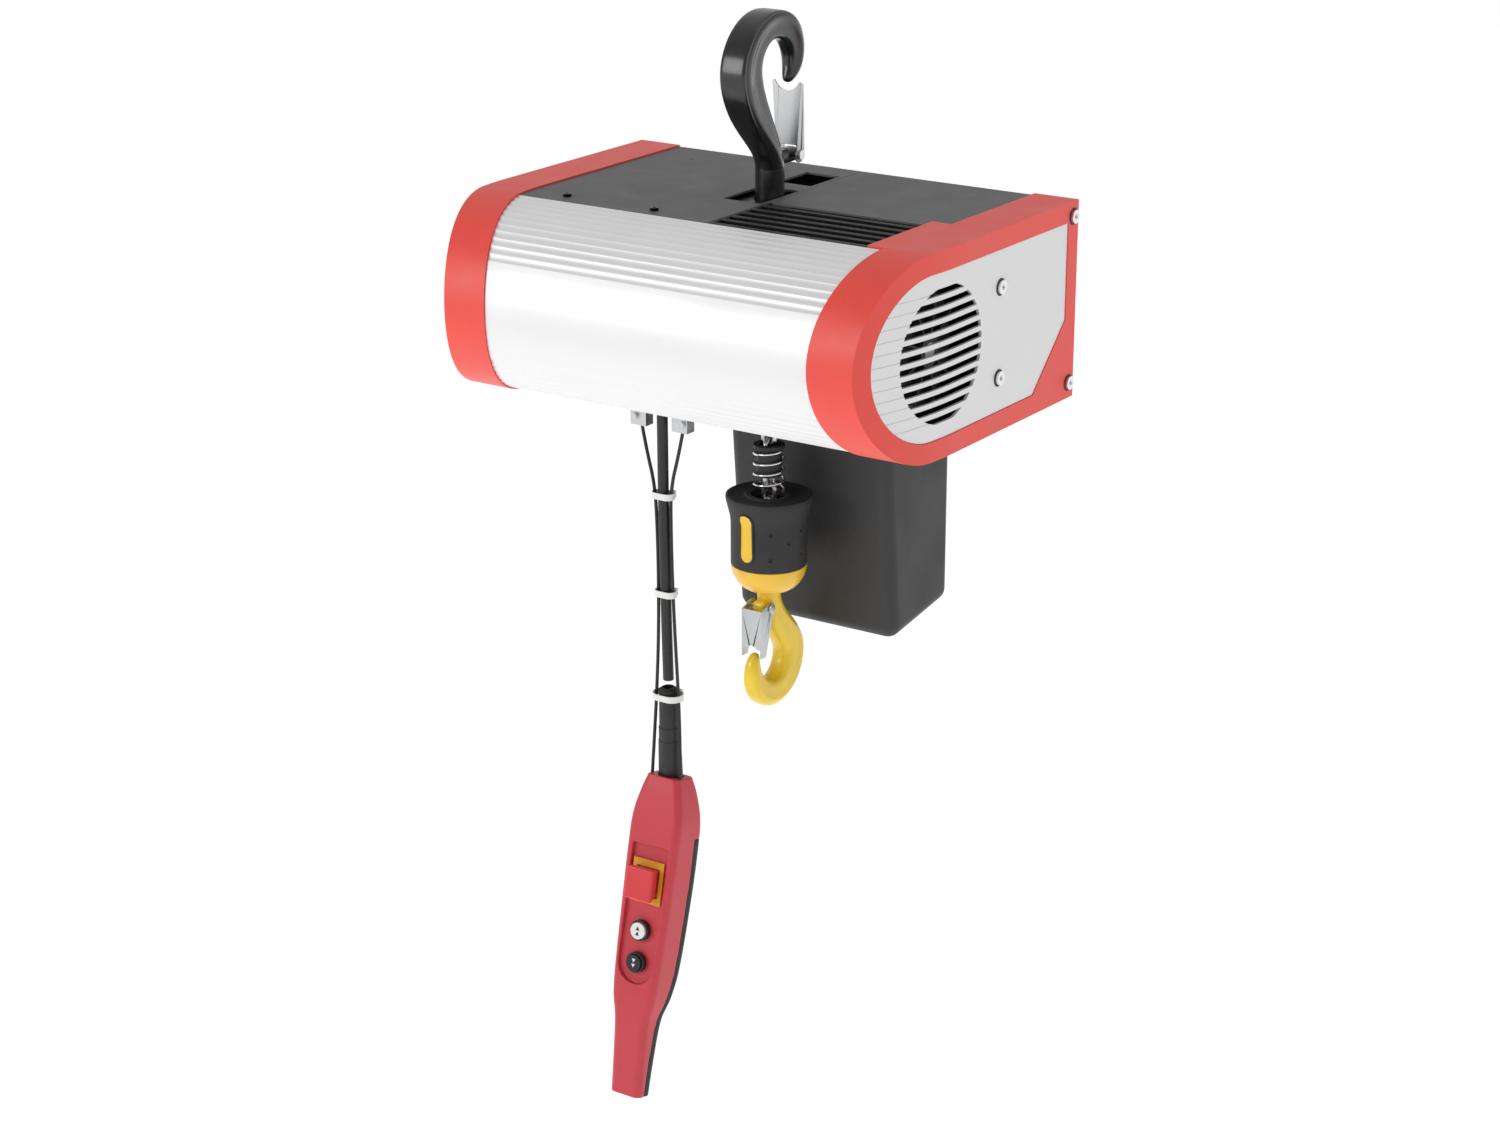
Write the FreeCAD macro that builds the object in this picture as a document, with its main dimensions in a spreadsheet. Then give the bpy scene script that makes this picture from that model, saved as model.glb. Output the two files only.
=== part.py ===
import FreeCAD, Part
import math
import os
import re

from FreeCAD import Placement, Rotation, Vector

# An electric chain hoist, hung by its top hook.
# Millimetres, +Z up, X along the body, -Y towards the fluted front.
# The origin is the saddle of the suspension hook: the load line runs straight down from it along -Z.
doc = FreeCAD.newDocument("ChainHoist")

SIZES = {
    # body
    "body_length": 500,        # over both end caps
    "body_right": 256,         # X of the right end face
    "body_back": 135,          # Y of the back
    "rim_top": -145,           # Z of the caps' top
    "body_height": 190,
    "nose_y": -125.5,          # centre of the half-round front
    "sweep_radius": 345,       # the end faces curve inwards towards the front
    "sweep_y": -88,            # where that curve starts
    "cap_width": 47,
    "cap_wall": 3,
    "cap_flange": 19,          # width of the ring round each end panel
    "skin_inset": 1.6,         # covers sit this much inside the caps' outline
    "skin_wall": 3,
    "cover_front": -133,       # Y where the top covers meet the front housing
    "seam_x": 19,              # X of the seam between the top covers
    "louvre_back": -31,        # Y of the louvres' back edge
    "grille_y": -105,
    "grille_radius": 63,
    "slot_pitch": 10.6,
    "slot_width": 6,
    # drive, all axes along X at one height
    "shaft_z": -240,
    "wheel_y": 25.9,           # chain wheel axis, behind the load line by its pitch radius and a clearance
    "lay_y": -42.25,
    "motor_y": -103.9,
    "wheel_shaft_radius": 9,
    "lay_shaft_radius": 7,
    "motor_shaft_radius": 8,
    "running_gap": 0.04,       # radial clearance of a shaft in its bearing
    "first_module": 1.5,
    "second_module": 2,
    "pinion_teeth": 12,
    "first_teeth": 70,
    "output_teeth": 56,
    # chain
    "wire": 5,
    "pitch": 15,
    "link_width": 17.5,
    # bucket
    "bucket_left": -80,
    "bucket_right": 105,
    "bucket_back": 173,
    "bucket_bottom": -597,
    "bucket_wall": 3,
    # hook block and load hook
    "block_top": -441.5,
    "block_radius": 37.5,
    "block_rim_radius": 42.6,
    "bucket_bolt_front": 70,   # Y of the two rows of bolts that hold the bucket
    "bucket_bolt_rear": 100,
    "bucket_bolt_inset": 9,
    "cup_top": -513,
    "cup_bottom": -539,
    "load_eye_y": -1,
    "load_eye_z": -614,
    "load_eye_radius": 20,
    "load_pivot_y": -14,
    "load_pivot_z": -555,
    # suspension hook
    "top_eye_y": 3,
    "top_eye_z": -25,
    "top_eye_radius": 25,
    "top_pivot_y": 35,
    "top_pivot_z": -114,
    # control pendant
    "cable_x": -71,
    "cable_y": -78,
    "cable_exit_z": -345,      # height of the swing axis, inside the gland's mouth
    "cable_radius": 5.4,
    "strain_wire_radius": 1.7,
    "clamp_spread": 24,
    "boot_top_z": -636,
    "pendant_y": -69,
    "pendant_top_z": -731,
    "pendant_tilt": 12,
}

sheet = doc.addObject("Spreadsheet::Sheet", "Sizes")
for row, (alias, size) in enumerate(SIZES.items(), start=1):
    sheet.set(f"A{row}", alias)
    sheet.set(f"B{row}", str(size))
    sheet.setAlias(f"B{row}", alias)
doc.recompute()

V = {alias: float(sheet.get(alias)) for alias in SIZES}
NODES = []
LINK_PITCH = V["pitch"]
BODY_LEFT = "(body_right - body_length)"
BODY_MIDDLE = "(body_right - body_length / 2)"
BODY_BOTTOM = "(rim_top - body_height)"
TURNS = {"x": Rotation(Vector(0, 1, 0), 90), "y": Rotation(Vector(1, 0, 0), -90), "z": Rotation()}


# ---------------------------------------------------------------- document helpers
def qualify(expression):
    """Point every alias in an expression at the spreadsheet."""
    def named(match):
        word = match.group()
        return "Sizes." + word if word in SIZES else word

    return re.sub(r"[a-z][a-z_]+", named, str(expression))


def bind(thing, **sizes):
    for name, expression in sizes.items():
        thing.setExpression(name, qualify(expression))
    return thing


def place(thing, at):
    for axis, expression in zip("xyz", at):
        thing.setExpression("Placement.Base." + axis, qualify(expression))
    return thing


def box(low, size):
    thing = doc.addObject("Part::Box", "Box")
    bind(thing, Length=size[0], Width=size[1], Height=size[2])
    return place(thing, low)


def rod(start, radius, length, axis="x"):
    thing = doc.addObject("Part::Cylinder", "Rod")
    thing.Placement = Placement(Vector(), TURNS[axis])
    bind(thing, Radius=radius, Height=length)
    return place(thing, start)


def cone(start, radius, end_radius, length, axis="z"):
    thing = doc.addObject("Part::Cone", "Cone")
    thing.Placement = Placement(Vector(), TURNS[axis])
    bind(thing, Radius1=radius, Radius2=end_radius, Height=length)
    return place(thing, start)


def fuse(*things):
    joined = doc.addObject("Part::MultiFuse", "Fuse")
    joined.Shapes = list(things)
    return joined


def common(*things):
    shared = doc.addObject("Part::MultiCommon", "Common")
    shared.Shapes = list(things)
    return shared


def cut(base, *tools):
    for tool in tools:
        rest = doc.addObject("Part::Cut", "Cut")
        rest.Base = base
        rest.Tool = tool
        base = rest
    return base


def ring(start, radius, bore, length, axis="x"):
    return cut(rod(start, radius, length, axis), rod(start, bore, length, axis))


def mirrored(thing):
    """The same piece at the body's other end."""
    other = doc.addObject("Part::Mirroring", "Mirror")
    other.Source = thing
    other.Normal = Vector(1, 0, 0)
    other.Base = Vector(V["body_right"] - V["body_length"] / 2, 0, 0)
    return other


def feature(shape, name="Solid"):
    thing = doc.addObject("Part::Feature", name)
    thing.Shape = shape
    return thing


def node(name, thing):
    thing.Label = name
    NODES.append(thing)
    return thing


def group(name, things):
    """One node made of several separate solids."""
    bundle = doc.addObject("Part::Compound", "Group")
    bundle.Links = list(things)
    return node(name, bundle)


# ---------------------------------------------------------------- the body's outline
def outline(inset, left, length):
    """The D-shaped section, drawn in by inset, from X = left."""
    straight = box((left, "nose_y", f"{BODY_BOTTOM} + {inset}"),
                   (length, f"body_back - nose_y - {inset}", f"body_height - 2 * {inset}"))
    nose = rod((left, "nose_y", "rim_top - body_height / 2"), f"body_height / 2 - {inset}", length)
    return fuse(straight, nose)


def plan(depth):
    """Everything left of the right end face moved in by depth: flat at the back, curved at the front."""
    flat = box(("body_right - body_length", "sweep_y", f"{BODY_BOTTOM} - 5"),
               (f"body_length - {depth}", "body_back - sweep_y + 5", "body_height + 10"))
    curved = rod((f"body_right - sweep_radius - {depth}", "sweep_y", f"{BODY_BOTTOM} - 5"),
                 "sweep_radius", "body_height + 10", "z")
    return fuse(flat, curved)


def corner_gusset(clearance):
    """Wedge filling the lower back corner of the ring round an end panel."""
    y_far = V["body_back"] - V["cap_flange"]
    z_low = V["rim_top"] - V["body_height"] + V["cap_flange"]
    points = [(y_far + 5, z_low - 5), (y_far + 5, z_low + 62 + clearance),
              (y_far - 1 - clearance, z_low + 58), (y_far - 62 - clearance, z_low - 2),
              (y_far - 62 - clearance, z_low - 5)]
    x_start = V["body_right"] - 60
    wire = Part.makePolygon([Vector(x_start, y, z) for y, z in points + points[:1]])
    return feature(Part.Face(wire).extrude(Vector(70, 0, 0)), "Gusset")


def window(inset, clearance):
    return cut(outline(inset, "body_right - 60", "70"), corner_gusset(clearance))


END_SCREWS = [(125.5, -159.5), (125.5, -320)]
PANEL_SCREWS = [(-9, -199), (-9, -284)]


def end_cap(with_tab):
    shell = cut(common(outline("0", "body_right - 100", "100"), plan("0")), plan("cap_width"))
    hollow = common(outline("cap_wall", "body_right - 100", "100"), plan("4"))
    posts = [box(("body_right - 30", "body_back - 21", low), (30, 20, 20))
             for low in (f"{BODY_BOTTOM} + cap_wall", "rim_top - cap_wall - 20")]
    tool = cut(hollow, *posts)
    shell = cut(shell, tool, window("cap_flange", 0))
    for y, z in END_SCREWS:
        shell = cut(shell, rod(("body_right - 35", y, z), 2.6, 40))
    if with_tab:
        tab = box(("body_right - cap_width - 20", "cover_front + 1", "rim_top - cap_wall"),
                  ("20.2", "112", "cap_wall"))
        shell = fuse(shell, tab)
    return shell


def end_panel(with_slots):
    panel = common(window("(cap_flange + 0.4)", 0.4), cut(plan("0.8"), plan("3.8")))
    for y, z in PANEL_SCREWS:
        panel = cut(panel, rod(("body_right - 35", y, z), 2.6, 40))
    if with_slots:
        # Twelve slots, and a shallow groove from each one forward to the panel's edge.
        rows = [f"shaft_z + ({k} - 5.5) * slot_pitch" for k in range(12)]
        slots = [box(("body_right - 25", "grille_y - grille_radius", f"{row} - slot_width / 2"),
                     ("30", "2 * grille_radius", "slot_width")) for row in rows]
        disc = rod(("body_right - 25", "grille_y", "shaft_z"), "grille_radius", "30")
        grooves = [box(("body_right - 45", "grille_y - 2 * grille_radius", f"{row} - 0.5"),
                       ("50", "2 * grille_radius", "1")) for row in rows]
        panel = cut(panel, common(fuse(*slots), disc), cut(fuse(*grooves), plan("1.4")))
    return panel


node("right_end_cap", end_cap(True))
node("left_end_cap", mirrored(end_cap(False)))
node("right_end_panel", end_panel(True))
node("left_end_panel", mirrored(end_panel(False)))


# ---------------------------------------------------------------- covers
def between_caps(thing):
    """Trim to the space between the two caps, with a 0.3 mm gap at each."""
    right = plan("(cap_width + 0.3)")
    return common(thing, right, mirrored(plan("(cap_width + 0.3)")))


def front_housing():
    skin = cut(outline("skin_inset", BODY_LEFT, "body_length"),
               outline("(skin_inset + skin_wall)", BODY_LEFT, "body_length"))
    front = box((BODY_LEFT, "nose_y - body_height / 2 - 5", f"{BODY_BOTTOM} - 5"),
                ("body_length", "cover_front - nose_y + body_height / 2 + 5", "body_height + 10"))
    foot = box((BODY_LEFT, "cover_front - 1", f"{BODY_BOTTOM} - 5"), ("body_length", "34", "15"))
    skin = common(skin, fuse(front, foot))
    flute_radius = 9.0
    reach = V["body_height"] / 2 - V["skin_inset"] + flute_radius - 0.75
    cutters = []
    for k in range(11):
        for side in (1, -1):
            angle = math.radians(7.5 + 5.0 * k)
            y = V["nose_y"] - reach * math.sin(angle)
            z = V["shaft_z"] + side * reach * math.cos(angle)
            cutters.append(rod((BODY_LEFT, y, z), flute_radius, "body_length"))
    return between_caps(cut(skin, fuse(*cutters)))


def top_cover_left():
    top = "rim_top - skin_inset - 2"
    plate = box((BODY_LEFT, "cover_front + 0.3", top),
                ("seam_x - 0.3 - body_right + body_length", "body_back - cover_front - 1", "2"))
    shank_hole = box(("-26", "-40", f"{top} - 2"), ("42", "66", "6"))
    lifting_slot = box(("-24", "50", f"{top} - 2"), ("38", "52", "6"))
    holes = [rod((x, y, f"{top} - 2"), 1.6, 6, "z") for x, y in ((-152, 90), (-152, -114), (-50, -117))]
    return between_caps(cut(plate, shank_hole, lifting_slot, *holes))


def top_cover_right():
    top = "rim_top - skin_inset - 2"
    plate = box(("seam_x + 0.3", "louvre_back + 0.3", top),
                ("body_right - cap_width - seam_x", "body_back - louvre_back - 1", "2"))
    front = box(("body_right - cap_width - 20.6", "louvre_back - 1", "rim_top - 4"), ("25", "12.3", "5"))
    return between_caps(cut(plate, front))


def louvre_block():
    """Sloping fins over the motor bay, on two side cheeks."""
    left = V["seam_x"] + 0.4
    right = V["body_right"] - V["cap_width"] - 21
    low, top = V["rim_top"] - 17, V["rim_top"] - V["skin_inset"]
    front, back = V["cover_front"] + 0.5, V["louvre_back"] - 0.2
    fins = []
    count, lean = 6, 6.0
    step = (back - front) / count
    for k in range(count):
        y = front + k * step
        points = [(y, top), (y + 7.0, top), (y + 7.0 + lean, low + 5), (y + lean, low + 5)]
        wire = Part.makePolygon([Vector(left, a, b) for a, b in points + points[:1]])
        fins.append(Part.Face(wire).extrude(Vector(right - left, 0, 0)))
    cheeks = [Part.makeBox(3, back - front, top - low, Vector(x, front, low)) for x in (left, right - 3)]
    return feature(fins[0].multiFuse(fins[1:] + cheeks).removeSplitter(), "Louvres")


BUCKET_BOLTS = [(x, y) for x in ("bucket_left + bucket_bolt_inset", "bucket_right - bucket_bolt_inset")
                for y in ("bucket_bolt_front", "bucket_bolt_rear")]


def rear_tray():
    """One folded sheet: the back and the bottom of the body."""
    wall = 2
    back = box((BODY_LEFT, f"body_back - skin_inset - {wall}", f"{BODY_BOTTOM} + skin_inset"),
               ("body_length", wall, "body_height - 2 * skin_inset - 2.3"))
    floor = box((BODY_LEFT, "cover_front + 33.3", f"{BODY_BOTTOM} + skin_inset"),
                ("body_length", "body_back - skin_inset - cover_front - 33.3", wall))
    below = f"{BODY_BOTTOM} - 1"
    holes = [box((-13, -13, below), (26, 26, 8)), box((-13, 34, below), (26, 70, 8)),
             rod((-150, 60, below), 8.2, 8, "z"), rod(("cable_x", "cable_y", below), 8.7, 8, "z")]
    for side in (-1, 1):
        holes.append(rod((f"cable_x + {side} * clamp_spread", "cable_y", below), 2.1, 8, "z"))
    holes += [rod((x, y, below), 2.6, 8, "z") for x, y in BUCKET_BOLTS]
    return between_caps(cut(fuse(back, floor), *holes))


def screw(at, head, shank, length, axis="x"):
    """Pan head with a six-lobe socket, simplified to a round one; at is under the head, outwards is +axis."""
    start = list(at)
    index = "xyz".index(axis)
    below = list(at)
    below[index] = f"{at[index]} - {length}"
    socket = list(at)
    socket[index] = f"{at[index]} + 1.2"
    solid = fuse(rod(start, head, 3, axis), rod(below, shank, f"{length} + 0.5", axis))
    return cut(solid, rod(socket, head / 2.2, 3, axis))


def cover_screws():
    ends = [screw(("body_right", y, z), 6.5, 2.5, 14) for y, z in END_SCREWS]
    panels = [screw(("body_right - 0.8", y, z), 6.5, 2.5, 10) for y, z in PANEL_SCREWS]
    tops = [screw((x, y, "rim_top - skin_inset"), 4, 1.5, 8, "z") for x, y in ((-152, -114), (-50, -117))]
    return [*ends, *panels, *[mirrored(s) for s in ends + panels], *tops]


node("front_housing", front_housing())
node("top_cover_left", top_cover_left())
node("top_cover_right", top_cover_right())
node("louvre_block", louvre_block())
node("rear_tray", rear_tray())
group("cover_screws", cover_screws())


# ---------------------------------------------------------------- frame and gearbox
def shaft_hole(y, radius, x="20", length="80"):
    return rod((x, y, "shaft_z"), radius, length)


def main_frame():
    """Cast frame: crosshead for the hook shank, wheel cheek, gear case wall and rim."""
    crosshead = box((-24, -30, -184), (54, 60, 30))
    cheek = box((-30, -14, -300), (6, 78, 146))
    bridge = box((-30, -30, -184), (8, 60, 30))
    wall = box((22, -190, -325), (8, 310, 171))
    rim = cut(box((22, -135, -305), (56, 225, 130)), box((30, -130, -300.5), (60, 215, 121)))
    under_louvres = box((20, -200, -164), (20, "louvre_back + 201", 20))
    body = common(cut(fuse(crosshead, cheek, bridge, wall, rim), under_louvres), outline("6", -40, 140))
    body = cut(body, rod((0, 0, -200), 12.1, 60, "z"), rod((-40, 0, -168), 4.1, 80))
    body = cut(body, rod((-40, "wheel_y", "shaft_z"), 17, 25), shaft_hole("wheel_y", 17, "20", "11"))
    return cut(body, shaft_hole("lay_y", 14, "20", "11"), box((-23.9, -13, -320), (46, 20, 14)))


def gear_lid():
    plate = common(box((78.3, -180, -312), (9.7, 275, 144)), outline("6", 70, 30))
    return cut(plate, shaft_hole("wheel_y", 17), shaft_hole("lay_y", 14), shaft_hole("motor_y", 17))


def bearings():
    spots = [(-30, "wheel_y", 6, "wheel_shaft_radius", 17), (22, "wheel_y", 8, "wheel_shaft_radius", 17),
             (79, "wheel_y", 8, "wheel_shaft_radius", 17), (22, "lay_y", 8, "lay_shaft_radius", 14),
             (79, "lay_y", 8, "lay_shaft_radius", 14), (79, "motor_y", 8, "motor_shaft_radius", 17),
             (190.8, "motor_y", 7, "motor_shaft_radius", 17)]
    return [ring((x, y, "shaft_z"), f"{outer} - 0.02", f"{bore} + running_gap", width)
            for x, y, width, bore, outer in spots]


node("main_frame", main_frame())
node("gear_lid", gear_lid())
group("bearings", bearings())


# ---------------------------------------------------------------- gears
def gear_wire(teeth, module, x, turn, backlash):
    """Closed involute outline: teeth of full depth, thinned by the backlash, flanks of four points each."""
    pressure = math.radians(20)
    pitch_r, tip_r, root_r = module * teeth / 2, module * (teeth / 2 + 0.9), module * (teeth / 2 - 1.25)
    base_r = pitch_r * math.cos(pressure)

    def involute(radius):
        angle = math.acos(min(1.0, base_r / radius))
        return math.tan(angle) - angle

    half = math.pi / (2 * teeth) - backlash / (2 * pitch_r)
    radii = [max(base_r, root_r + 0.05), (base_r + pitch_r) / 2, pitch_r, (pitch_r + tip_r) / 2, tip_r]
    if radii[0] > radii[1]:
        radii[1] = (radii[0] + pitch_r) / 2
    offsets = [half + involute(pitch_r) - involute(r) for r in radii]
    points = []
    for k in range(teeth):
        centre = turn + 2 * math.pi * k / teeth
        points.append((root_r, centre - offsets[0]))
        points += [(r, centre - o) for r, o in zip(radii, offsets)]
        points += [(r, centre + o) for r, o in zip(reversed(radii), reversed(offsets))]
        points.append((root_r, centre + offsets[0]))
    corners = [Vector(x, r * math.cos(a), r * math.sin(a)) for r, a in points]
    return Part.makePolygon(corners + corners[:1])


def gear(teeth, module, x, width, y, turn, bore):
    """A spur gear about an X axis at (y, shaft_z); bore 0 leaves it solid."""
    blank = Part.Face(gear_wire(int(teeth), module, x, turn, 0.22)).extrude(Vector(width, 0, 0))
    if bore:
        blank = blank.cut(Part.makeCylinder(bore, width + 2, Vector(x - 1, 0, 0), Vector(1, 0, 0)))
    blank.translate(Vector(0, y, V["shaft_z"]))
    return blank


def x_cylinder(radius, x, length, y):
    return Part.makeCylinder(radius, length, Vector(x, y, V["shaft_z"]), Vector(1, 0, 0))


PINION = int(V["pinion_teeth"])
FIT = 0.02
# A pinion shows a tooth towards +Y and its gear shows a gap towards -Y, so each pair is in mesh at rest.
first_gap = math.pi + math.pi / V["first_teeth"]
output_gap = math.pi + math.pi / V["output_teeth"]

motor_shaft = x_cylinder(V["motor_shaft_radius"], 74, 164, V["motor_y"])
motor_shaft = motor_shaft.fuse(gear(PINION, V["first_module"], 58, 16.5, V["motor_y"], 0, 0))
node("motor_shaft", feature(motor_shaft.removeSplitter(), "MotorShaft"))

lay_shaft = x_cylinder(V["lay_shaft_radius"], 22.5, 64, V["lay_y"])
lay_shaft = lay_shaft.fuse(gear(PINION, V["second_module"], 34, 19, V["lay_y"], 0, 0))
node("lay_shaft", feature(lay_shaft.removeSplitter(), "LayShaft"))

first_gear = gear(V["first_teeth"], V["first_module"], 58, 14, V["lay_y"], first_gap,
                  V["lay_shaft_radius"] + FIT)
node("first_gear", feature(first_gear, "FirstGear"))
output_gear = gear(V["output_teeth"], V["second_module"], 35, 16, V["wheel_y"], output_gap,
                   V["wheel_shaft_radius"] + FIT)
node("output_gear", feature(output_gear, "OutputGear"))


def chain_wheel():
    """Load wheel and shaft in one piece: a deep groove for upright links, a shallow seat for flat ones."""
    shaft = rod((-30, "wheel_y", "shaft_z"), "wheel_shaft_radius", 117)
    hub = rod((-13, "wheel_y", "shaft_z"), 19.8, 26)
    cheeks = [rod((x, "wheel_y", "shaft_z"), 29, 3.2) for x in (-13, 9.8)]
    groove = ring((-3.4, "wheel_y", "shaft_z"), 30, 13.5, 6.8)
    return cut(fuse(shaft, hub, *cheeks), groove)


node("chain_wheel", chain_wheel())


# ---------------------------------------------------------------- motor, brake and fan
def stator():
    """Laminated core in its shell, with the winding heads at both ends."""
    shell = ring((88.3, "motor_y", "shaft_z"), 64, 60, 102)
    core = ring((98, "motor_y", "shaft_z"), 60.5, 36.2, 80)
    heads = [ring((x, "motor_y", "shaft_z"), 56, 40, 9) for x in (90, 177)]
    return fuse(shell, core, *heads)


def end_shield():
    disc = rod((190.6, "motor_y", "shaft_z"), 64, 7.4)
    return cut(disc, rod((190, "motor_y", "shaft_z"), 17, 9))


def brake_magnet():
    pot = ring((198.3, "motor_y", "shaft_z"), 50, 11, 14)
    return cut(pot, ring((203, "motor_y", "shaft_z"), 42, 26, 10))


def brake_plate():
    """Friction ring held off the magnet by three pillar screws."""
    plate = ring((221.5, "motor_y", "shaft_z"), 57, 14, 3)
    pillars = []
    for k in range(3):
        a = math.pi / 2 + 2 * math.pi * k / 3
        y, z = 54 * math.cos(a), 54 * math.sin(a)
        pillars.append(rod((198.3, f"motor_y + {y:.3f}", f"shaft_z + {z:.3f}"), 2.5, 23.5))
    return fuse(plate, *pillars)


def cooling_fan():
    hub = ring((227, "motor_y", "shaft_z"), 15, f"motor_shaft_radius + {FIT}", 11)
    back = ring((227, "motor_y", "shaft_z"), 50, f"motor_shaft_radius + {FIT}", 2)
    blades = []
    for k in range(9):
        blade = Part.makeBox(11, 36, 2, Vector(227, 13, -1))
        blade.rotate(Vector(), Vector(1, 0, 0), 40 * k)
        blade.translate(Vector(0, V["motor_y"], V["shaft_z"]))
        blades.append(feature(blade, "Blade"))
    return fuse(hub, back, *blades)


node("stator", stator())
node("motor_end_shield", end_shield())
node("rotor", ring((98, "motor_y", "shaft_z"), 35.5, f"motor_shaft_radius + {FIT}", 80))
group("brake_magnet", [brake_magnet(), ring((203.4, "motor_y", "shaft_z"), 41.6, 26.4, 8.4)])
node("brake_armature", ring((213, "motor_y", "shaft_z"), 50, 14, 3.6))
node("brake_disc", ring((217.2, "motor_y", "shaft_z"), 47, f"motor_shaft_radius + {FIT}", 4))
node("brake_plate", brake_plate())
node("cooling_fan", cooling_fan())


# ---------------------------------------------------------------- chain and its guide
def link():
    """One round-steel link, centred on the origin, long axis Z, flat in the XZ plane."""
    wire = V["wire"] / 2
    bend = V["link_width"] / 2 - wire
    half = V["pitch"] / 2 + wire - bend + 0.15
    sides = [Part.makeCylinder(wire, 2 * half, Vector(s * bend, 0, -half)) for s in (-1, 1)]
    ring_solid = Part.makeTorus(bend, wire, Vector(), Vector(0, 1, 0))
    ends = []
    for sign in (-1, 1):
        bow = ring_solid.common(Part.makeBox(40, 40, 20, Vector(-20, -20, 0 if sign > 0 else -20)))
        bow.translate(Vector(0, 0, sign * half))
        ends.append(bow)
    return sides[0].multiFuse([sides[1]] + ends).removeSplitter()


LINK = link()


def straight_links(y, top, count, first_turn=0, lean=0):
    """Links hanging one below the other, each a quarter turn on from the last, leaning back by lean degrees."""
    links = []
    for k in range(count):
        piece = LINK.copy()
        piece.rotate(Vector(), Vector(0, 0, 1), 90 * ((k + first_turn) % 2))
        piece.translate(Vector(0, 0, -(k + 0.5) * LINK_PITCH))
        piece.rotate(Vector(), Vector(1, 0, 0), lean)
        piece.translate(Vector(0, y, top))
        links.append(piece)
    return links


def wrapped_links():
    """The half turn of chain over the wheel: sides of a ten-sided figure, alternately flat and upright."""
    apothem = V["pitch"] / (2 * math.tan(math.radians(18))) + 1.1
    links = []
    for k in range(5):
        angle = 18 + 36 * k
        piece = LINK.copy()
        piece.rotate(Vector(), Vector(0, 0, 1), 90 * (k % 2))
        piece.translate(Vector(0, -apothem, 0))
        piece.rotate(Vector(), Vector(1, 0, 0), -angle)
        piece.translate(Vector(0, V["wheel_y"], V["shaft_z"]))
        links.append(piece)
    return links


def heaped_links():
    """Chain laid in rows on the bucket's sloping floor."""
    links = []
    slope = 17 / (V["bucket_back"] - 70)
    for layer in range(3):
        for row in range(4):
            y = 80 + 20 * row
            z = V["bucket_bottom"] + 14 + slope * (y - 67) + 20 * layer
            for k in range(9):
                piece = LINK.copy()
                piece.rotate(Vector(), Vector(0, 0, 1), 90 * (k % 2))
                piece.rotate(Vector(), Vector(0, 1, 0), 90)
                piece.rotate(Vector(), Vector(1, 0, 0), 45)
                piece.translate(Vector(-52 + k * LINK_PITCH, y, z))
                links.append(piece)
    return links


STRAND_TOP = V["shaft_z"] + 0.5
STRAND_LINKS = 16
STRAIGHT_BACK_LINKS = 4
SLACK_LEAN = 8.0
strand = straight_links(0, STRAND_TOP, STRAND_LINKS, 1)
# The last link hangs on a pin in the hook block: the pin lies in the link's lower bow.
ANCHOR_RADIUS = 2.3
ANCHOR_Z = STRAND_TOP - STRAND_LINKS * LINK_PITCH + ANCHOR_RADIUS + 0.2
anchor_pin = Part.makeCylinder(ANCHOR_RADIUS, 22, Vector(0, -11, ANCHOR_Z), Vector(0, 1, 0))
node("load_chain", feature(Part.makeCompound(strand + [anchor_pin]), "LoadChain"))
back_y = 2 * V["wheel_y"]
bend_z = STRAND_TOP - STRAIGHT_BACK_LINKS * LINK_PITCH
slack = wrapped_links() + straight_links(back_y, STRAND_TOP, STRAIGHT_BACK_LINKS, 1)
slack += straight_links(back_y, bend_z, 15, 1, SLACK_LEAN) + heaped_links()
node("slack_chain", feature(Part.makeCompound(slack), "SlackChain"))


def chain_guide():
    block = box((-23.7, -13.5, -296), (45.4, 77, 90))
    pocket = rod((-14.2, "wheel_y", "shaft_z"), 34.5, 28.4)
    hole = rod((-25, "wheel_y", "shaft_z"), 12, 50)
    falls = [box((-10, y, -300), (20, 20, 62)) for y in (-10, "2 * wheel_y - 10")]
    return cut(block, pocket, hole, *falls)


node("chain_guide", chain_guide())
switch = cut(fuse(box((-20, -42, -322), (34, 28, 20)), box((-4, -15, -314), (8, 4, 3))),
             rod((-14, -50, -312), 1.6, 40, "y"), rod((8, -50, -312), 1.6, 40, "y"))
node("limit_switch", switch)


# ---------------------------------------------------------------- electrics
def control_board():
    """Circuit board on four pillars, with its relays, transformer and terminal row."""
    board = box((-190, 92, -318), (135, 1.6, 150))
    pillars = [rod((x, 93.6, z), 3, 37.7, "y") for x in (-184, -62) for z in (-312, -174)]
    relays = [box((-180 + 40 * k, 62, -225), (30, 30.2, 36)) for k in range(3)]
    transformer = box((-184, 50, -310), (50, 42.2, 60))
    terminals = box((-120, 76, -312), (60, 16.2, 12))
    return fuse(board, *pillars, *relays, transformer, terminals)


node("control_board", control_board())


def gland(x, y, bore, body, top):
    """Nylon cable gland: a hexagon on the floor, a domed nut below it, a thread and lock nut above."""
    nut = doc.addObject("Part::Prism", "Hexagon")
    nut.Polygon = 6
    bind(nut, Circumradius=f"{body} * 1.15", Height=6)
    place(nut, (x, y, f"{top} - 6"))
    dome = cone((x, y, f"{top} - 13"), body * 0.8, body, 7)
    thread = rod((x, y, top), body * 0.74, 8, "z")
    lock = ring((x, y, f"{top} + 2.15"), body * 1.05, body * 0.7, 4, "z")
    return cut(fuse(nut, dome, thread, lock), rod((x, y, f"{top} - 20"), bore, 40, "z"))


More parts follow.
